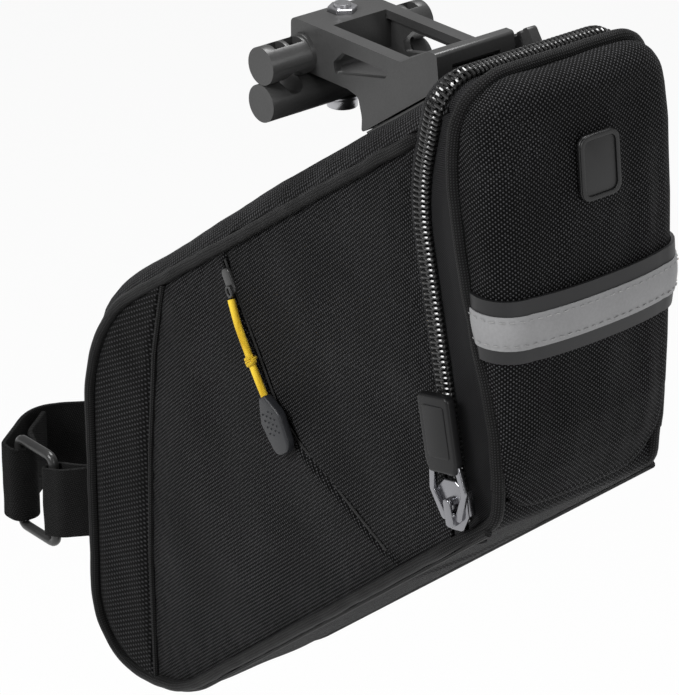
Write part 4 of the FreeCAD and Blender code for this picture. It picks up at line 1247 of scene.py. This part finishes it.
def blank_patch():
    """Plain moulded patch on the cover's face, with a raised rim."""
    half_w, top, low, rim = 7.5, 11.0, -8.0, 1.4
    outline = box_outline(-half_w, half_w, low, top, 3.0)
    middle_z = (top + low) / 2
    lean = math.atan2(face_x(0, low) - face_x(0, top), top - low)
    up = Vector((-math.sin(lean), 0, math.cos(lean)))
    out = Vector((math.cos(lean), 0, math.sin(lean)))
    centre = Vector((face_x(0, middle_z) + 0.2, 0, middle_z))
    place = (Matrix.Translation(centre) @ axes(Vector((0, 1, 0)), up, out)
             @ Matrix.Translation((0, -middle_z, 0)))
    plate = slab("patch", outline, 1.5, place, 0.5)
    inner = box_outline(-half_w + rim, half_w - rim, low + rim, top - rim, 2.0)
    raised = slab("patch_rim", resample(outline, 48, True), 0.5, lifted(place, 1.45), 0.18,
                  hole=resample(inner, 48, True))
    patch = join("patch", [plate, raised])
    finish_object(patch, PATCH, "cover", ["blank_patch"])


def rear_trim():
    """Loop for a light, the reflective band sewn on it, its stitches, and the patch."""
    band("light_loop", -50.6, -31.4, 0.3, 1.1, WEBBING_SMOOTH, "light_strap")
    band("reflective_band", -46.2, -35.8, 1.5, 0.5, REFLECTOR, "reflective_tape")

    def rearward(p, along):
        return Vector((along.y, -along.x, 0)).normalized() * (1 if along.y > 0 else -1)

    for name, z in (("upper", -37.3), ("lower", -44.7)):
        stitch_row("band_stitches_" + name, band_line(z, 2.35), rearward, 2.0, 0.9, 0.2, PALE_THREAD,
                   "cover", 0.12)
    blank_patch()


# ------------------------------------------------------------- zip slider

SLIDER_Z = -100.0


def slider_place():
    """Frame of the slider: X across the chain, Y up it, Z outward from the left side."""
    along = (flat(ZIP_KNEE) - flat(ZIP_FOOT)).normalized()
    outward = Vector((0, -1, 0))
    spot = Vector((zip_x(SLIDER_Z), -CHAIN_HALF, SLIDER_Z))
    return Matrix.Translation(spot) @ axes(along.cross(outward), along, outward)


def zip_slider(place):
    """Slider: winged lid, two flanges and a lug on two posts for the bail."""
    wings = rounded([(-5.9, -3.4, 1.2), (-2.6, -8.0, 1.6), (2.6, -8.0, 1.6), (5.9, -3.4, 1.2),
                     (6.2, 4.6, 1.8), (2.4, 7.6, 1.2), (-2.4, 7.6, 1.2), (-6.2, 4.6, 1.8)], 0.6)
    parts = [slab("slider", wings, 1.3, lifted(place, 2.0), 0.45)]
    for x in (-6.0, 4.9):
        parts.append(slab("slider_side", box_outline(x, x + 1.1, -3.2, 4.6, 0.4), 2.6,
                          lifted(place, -0.2), 0.3))
    parts.append(slab("slider_lug", box_outline(-1.5, 1.5, -6.4, 2.4, 1.2), 1.2, lifted(place, 4.5), 0.4))
    for low, high in ((-6.2, -3.8), (0.2, 2.2)):
        parts.append(slab("slider_post", box_outline(-1.4, 1.4, low, high, 0.5), 2.4,
                          lifted(place, 2.9), 0.3))
    slider = join("slider", parts)
    finish_object(slider, BRIGHT, "slider", ["zip_slider"])


def zip_bail(place):
    """Six-sided wire bail with the pin that passes under the slider's lug."""
    def hexagon(grow):
        low, high = -3.6 - grow, 12.2 + grow
        return resample(rounded([
            (-3.0 - grow, low, 0.8), (3.0 + grow, low, 0.8), (6.9 + grow, 4.4, 1.5),
            (5.4 + grow, high, 1.0), (-5.4 - grow, high, 1.0), (-6.9 - grow, 4.4, 1.5)], 0.5), 64, True)

    bail = slab("bail", hexagon(1.0), 1.5, lifted(place, 3.15), 0.35, hole=hexagon(-0.9))
    pin = bead(1.3, 12, 8)
    pin.data.transform(place @ Matrix.Translation((0, -2.6, 4.6)) @ Matrix.Diagonal((1.5, 0.75, 0.7, 1)))
    pin.data.transform(Matrix.Scale(MM, 4))
    bail = join("bail", [bail, pin])
    finish_object(bail, BRIGHT, "puller", ["zip_bail"])


def pull_tab(place):
    """Moulded tab on the bail, with a plain raised panel."""
    outline = rounded([(-5.6, 10.2, 1.2), (5.6, 10.2, 1.2), (6.7, 14.0, 2.0),
                       (6.7, 34.0, 1.8), (-6.7, 34.0, 1.8), (-6.7, 14.0, 2.0)], 0.7)
    tab = slab("tab", outline, 3.2, lifted(place, 2.6), 0.8, segments=4)
    panel = rounded([(-4.6, 15.0, 1.0), (4.6, 15.0, 1.0), (4.6, 31.0, 1.0), (-4.6, 31.0, 1.0)], 0.7)
    raised = slab("tab_face", panel, 0.35, lifted(place, 5.7), 0.2)
    tab = join("tab", [tab, raised])
    finish_object(tab, PULLER, "puller", ["pull_tab"])


def zip_puller():
    place = slider_place()
    zip_slider(place)
    zip_bail(place)
    pull_tab(place)


# ------------------------------------------------------------- side pocket

def side_pocket():
    """Slit with its thread and welt, the small slider on it, and the lining behind."""
    line = resample(fillet([(flat(p), 0 if i in (0, len(POCKET_LINE) - 1) else 14.0)
                            for i, p in enumerate(POCKET_LINE)]), 110)
    slit = tube("pocket_slit", [on_side(p.x, p.z, 0.9) for p in line], 0.5, 8)
    finish_object(slit, THREAD, "bag", ["pocket_zip_coil"])
    welt = [on_side(p.x - 0.9, p.z - 0.9, 1.35) for p in line[:60]]
    edge = tube("pocket_welt", welt, 0.3, 8)
    finish_object(edge, BINDING, "bag")

    turn = math.atan2(POCKET_LINE[1][1] - POCKET_LINE[0][1], POCKET_LINE[1][0] - POCKET_LINE[0][0])
    place = side_place(-17.65, -70.2, 1.0, turn)
    body = slab("pocket_runner", box_outline(-4.2, 4.2, -2.2, 2.2, 1.6), 1.6, lifted(place, 0.2), 0.5)
    hook = slab("pocket_hook", resample(box_outline(1.2, 5.2, -1.5, 1.5, 1.2), 40, True), 0.9,
                lifted(place, 2.0), 0.3, hole=resample(box_outline(2.1, 4.3, -0.7, 0.7, 0.5), 40, True))
    runner = join("pocket_runner", [body, hook])
    finish_object(runner, RING, "pocket_slider_body", ["pocket_slider"])

    high_near, high_far = flat((-30, -74)), flat((60, -64))
    low_near, low_far = flat((-20, -150)), flat((62, -138))
    steps = 20
    columns, uvs = [], []
    for i in range(steps):
        u = i / (steps - 1)
        low_p = low_near.lerp(low_far, u)
        high_p = high_near.lerp(high_far, u)
        spots = [low_p.lerp(high_p, j / (steps - 1)) for j in range(steps)]
        columns.append([on_side(p.x, p.z, -3.4 + ripple((p.x, 2, p.z), 18, 0.8)) for p in spots])
        uvs.append([(p.x, p.z) for p in spots])
    pouch = sheet("pocket_lining", columns, uvs, thickness=0.8)
    finish_object(pouch, LINING, "bag", ["pocket_pouch"])


# ----------------------------------------------------------- seatpost strap

STRAP_Z = -192.5
STRAP_WIDTH = 28.0
STRAP_WALL = 1.6


def ribbon(name, points, radii, low, high, node):
    """Webbing along a plan line, with rounded selvedges."""
    spots = [(Vector((x, y, 0)), r) for (x, y), r in zip(points, [0] + radii + [0])]
    line = resample(fillet(spots, False, 0.8), 200)
    rows = 15
    columns, uvs = [], []
    run = 0.0
    for i, p in enumerate(line):
        if i:
            run += (p - line[i - 1]).length
        tangent = (line[min(i + 1, len(line) - 1)] - line[max(i - 1, 0)]).normalized()
        out = Vector((tangent.y, -tangent.x, 0))
        climb = clamp((p.x + 126.0) / 20.0) * 6.5 - clamp((-150.0 - p.x) / 15.0) * 2.5
        column, uv_line = [], []
        for j in range(rows):
            z = low + (high - low) * j / (rows - 1)
            wave = ripple((run, 1, z), 9.0, 0.25)
            column.append(Vector((p.x, p.y, z + climb)) + out * (STRAP_WALL / 2 + wave))
            uv_line.append((run, z))
        columns.append(column)
        uvs.append(uv_line)
    verts = [p for c in columns for p in c]
    faces = []
    for i in range(len(columns) - 1):
        for j in range(rows - 1):
            faces.append((i * rows + j, (i + 1) * rows + j, (i + 1) * rows + j + 1, i * rows + j + 1))
    obj = mesh_object(name, verts, faces, [q for c in uvs for q in c])
    give_wall(obj, STRAP_WALL)
    apply_modifier(obj, "BEVEL", "selvedge", width=0.4 * MM, segments=2, limit_method="ANGLE",
                   angle_limit=math.radians(50))
    finish_object(obj, LOOP, "bag", [node])


def strap_and_ring():
    """Strap round the seatpost, doubled through its ring, and the anchor that holds the ring."""
    low = STRAP_Z - STRAP_WIDTH / 2
    high = STRAP_Z + STRAP_WIDTH / 2
    front = -105.0
    bar, y, wrap = -143.5, -25.0, 3.9
    ribbon("post_strap", [
        (front, 20.0), (-150.0, 20.0), (-172.0, 1.0), (bar - wrap - 0.6, y - wrap),
        (bar + wrap, y - wrap), (bar + wrap, y + wrap + 0.8), (-149.6, -16.4), (-162.0, -1.0)],
        [11.0, 14.0, wrap, wrap, wrap, 3.0], low, high, "seatpost_strap")
    hold, snug = -123.2, 3.35
    ribbon("anchor_strap", [
        (front, y + 4.6), (-112.0, y + snug), (hold - snug, y + snug), (hold - snug, y - snug),
        (-114.0, y - snug), (front, y + 2.0)],
        [8.0, snug - 0.02, snug - 0.02, 8.0], low + 1, high - 1, "strap_anchor")
    wire = 1.75
    half_h = 18.5 - 1.7
    rear, ahead = -123.3, -143.4
    loop = rounded([(ahead, STRAP_Z - half_h, 3.0), (rear, STRAP_Z - half_h, 3.0),
                    (rear, STRAP_Z + half_h, 3.0), (ahead, STRAP_Z + half_h, 3.0)], 0.6)
    ring = tube("ring", resample([Vector((p.x, y, p.y)) for p in loop], 120, True), wire, 12, True)
    finish_object(ring, RING, "ring", ["strap_ring"])


# ----------------------------------------------------------------- CAD pieces

def dress_cad():
    """Materials and softened edges for the CAD pieces that stay."""
    looks = {"clip_body": (CLIP, 0.45), "lower_jaw": (CLIP, 0.45), "release_button": (CLIP, 0.35),
             "bracket_rail": (CLIP, 0.3), "stiffener_plate": (CLIP, 0.3), "clamp_bolt": (STEEL, 0.3),
             "clamp_washer": (STEEL, 0.15), "clamp_nut": (STEEL, 0.3), "button_spring": (STEEL, 0.0),
             "bracket_screws": (STEEL, 0.2), "zip_stops": (BRIGHT, 0.3)}
    for node, (mat, edge) in looks.items():
        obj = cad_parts[node]
        if not obj.data.materials:
            obj.data.materials.append(mat)
        for k in range(len(obj.data.materials)):
            obj.data.materials[k] = mat
        if edge:
            weld = obj.modifiers.new("weld", "WELD")
            weld.merge_threshold = 0.00001
            soft = obj.modifiers.new("edges", "BEVEL")
            soft.width = edge * MM
            soft.segments = 2
            soft.limit_method = "ANGLE"
            soft.angle_limit = math.radians(32)
            soft.use_clamp_overlap = True


# ----------------------------------------------------------------- the room

FLOOR_Z = -0.62
LAMP_AIM = (0, 0, -0.09)
LAMP_SIZE = 0.6


def area_light(name, place, power):
    data = bpy.data.lights.new(name, "AREA")
    data.shape = "RECTANGLE"
    data.size = data.size_y = LAMP_SIZE
    data.energy = power
    lamp = new_object(name, data)
    lamp.location = place
    lamp.rotation_euler = (Vector(place) - Vector(LAMP_AIM)).to_track_quat("Z", "Y").to_euler()


def room():
    bpy.ops.mesh.primitive_plane_add(size=30, location=(0, 0, FLOOR_Z))
    floor = bpy.context.active_object
    floor.name = "floor"
    mat, tree, shader = new_material("pale floor")
    shader.inputs["Base Color"].default_value = (0.9, 0.9, 0.9, 1)
    shader.inputs["Roughness"].default_value = 0.9
    light = tree.nodes.new("ShaderNodeEmission")
    path = tree.nodes.new("ShaderNodeLightPath")
    seen = math_node(tree, "MAXIMUM", path.outputs["Is Camera Ray"], path.outputs["Is Glossy Ray"])
    seen = math_node(tree, "MAXIMUM", seen, path.outputs["Is Transmission Ray"])
    mix = tree.nodes.new("ShaderNodeMixShader")
    tree.links.new(math_node(tree, "MULTIPLY", seen, 0.9), mix.inputs["Fac"])
    tree.links.new(shader.outputs[0], mix.inputs[1])
    tree.links.new(light.outputs[0], mix.inputs[2])
    tree.links.new(mix.outputs[0], tree.nodes["Material Output"].inputs["Surface"])
    light.inputs["Strength"].default_value = 1.0
    floor.data.materials.append(mat)

    world = bpy.data.worlds.new("studio")
    bpy.context.scene.world = world
    world.use_nodes = True
    tree = world.node_tree
    background = tree.nodes["Background"]
    background.inputs["Color"].default_value = (1, 1, 1, 1)
    path = tree.nodes.new("ShaderNodeLightPath")
    seen = math_node(tree, "MAXIMUM", path.outputs["Is Camera Ray"], path.outputs["Is Transmission Ray"])
    strength = math_node(tree, "ADD", math_node(tree, "MULTIPLY", seen, 0.75), 0.25)
    tree.links.new(strength, background.inputs["Strength"])

    area_light("key", (-0.1, -1.3, 0.9), 20)
    area_light("rear", (1.35, -0.1, 0.55), 7)
    area_light("top", (-0.3, 0.5, 1.3), 20)


# ---------------------------------------------------------------- assembly

side_panel(-1)
side_panel(1)
gusset_band()
pipings()
zip_chain()
zip_tapes()
cover_shell()
cover_piping()
rear_trim()
zip_puller()
side_pocket()
strap_and_ring()
dress_cad()
room()

bpy.context.scene.view_settings.view_transform = "Standard"
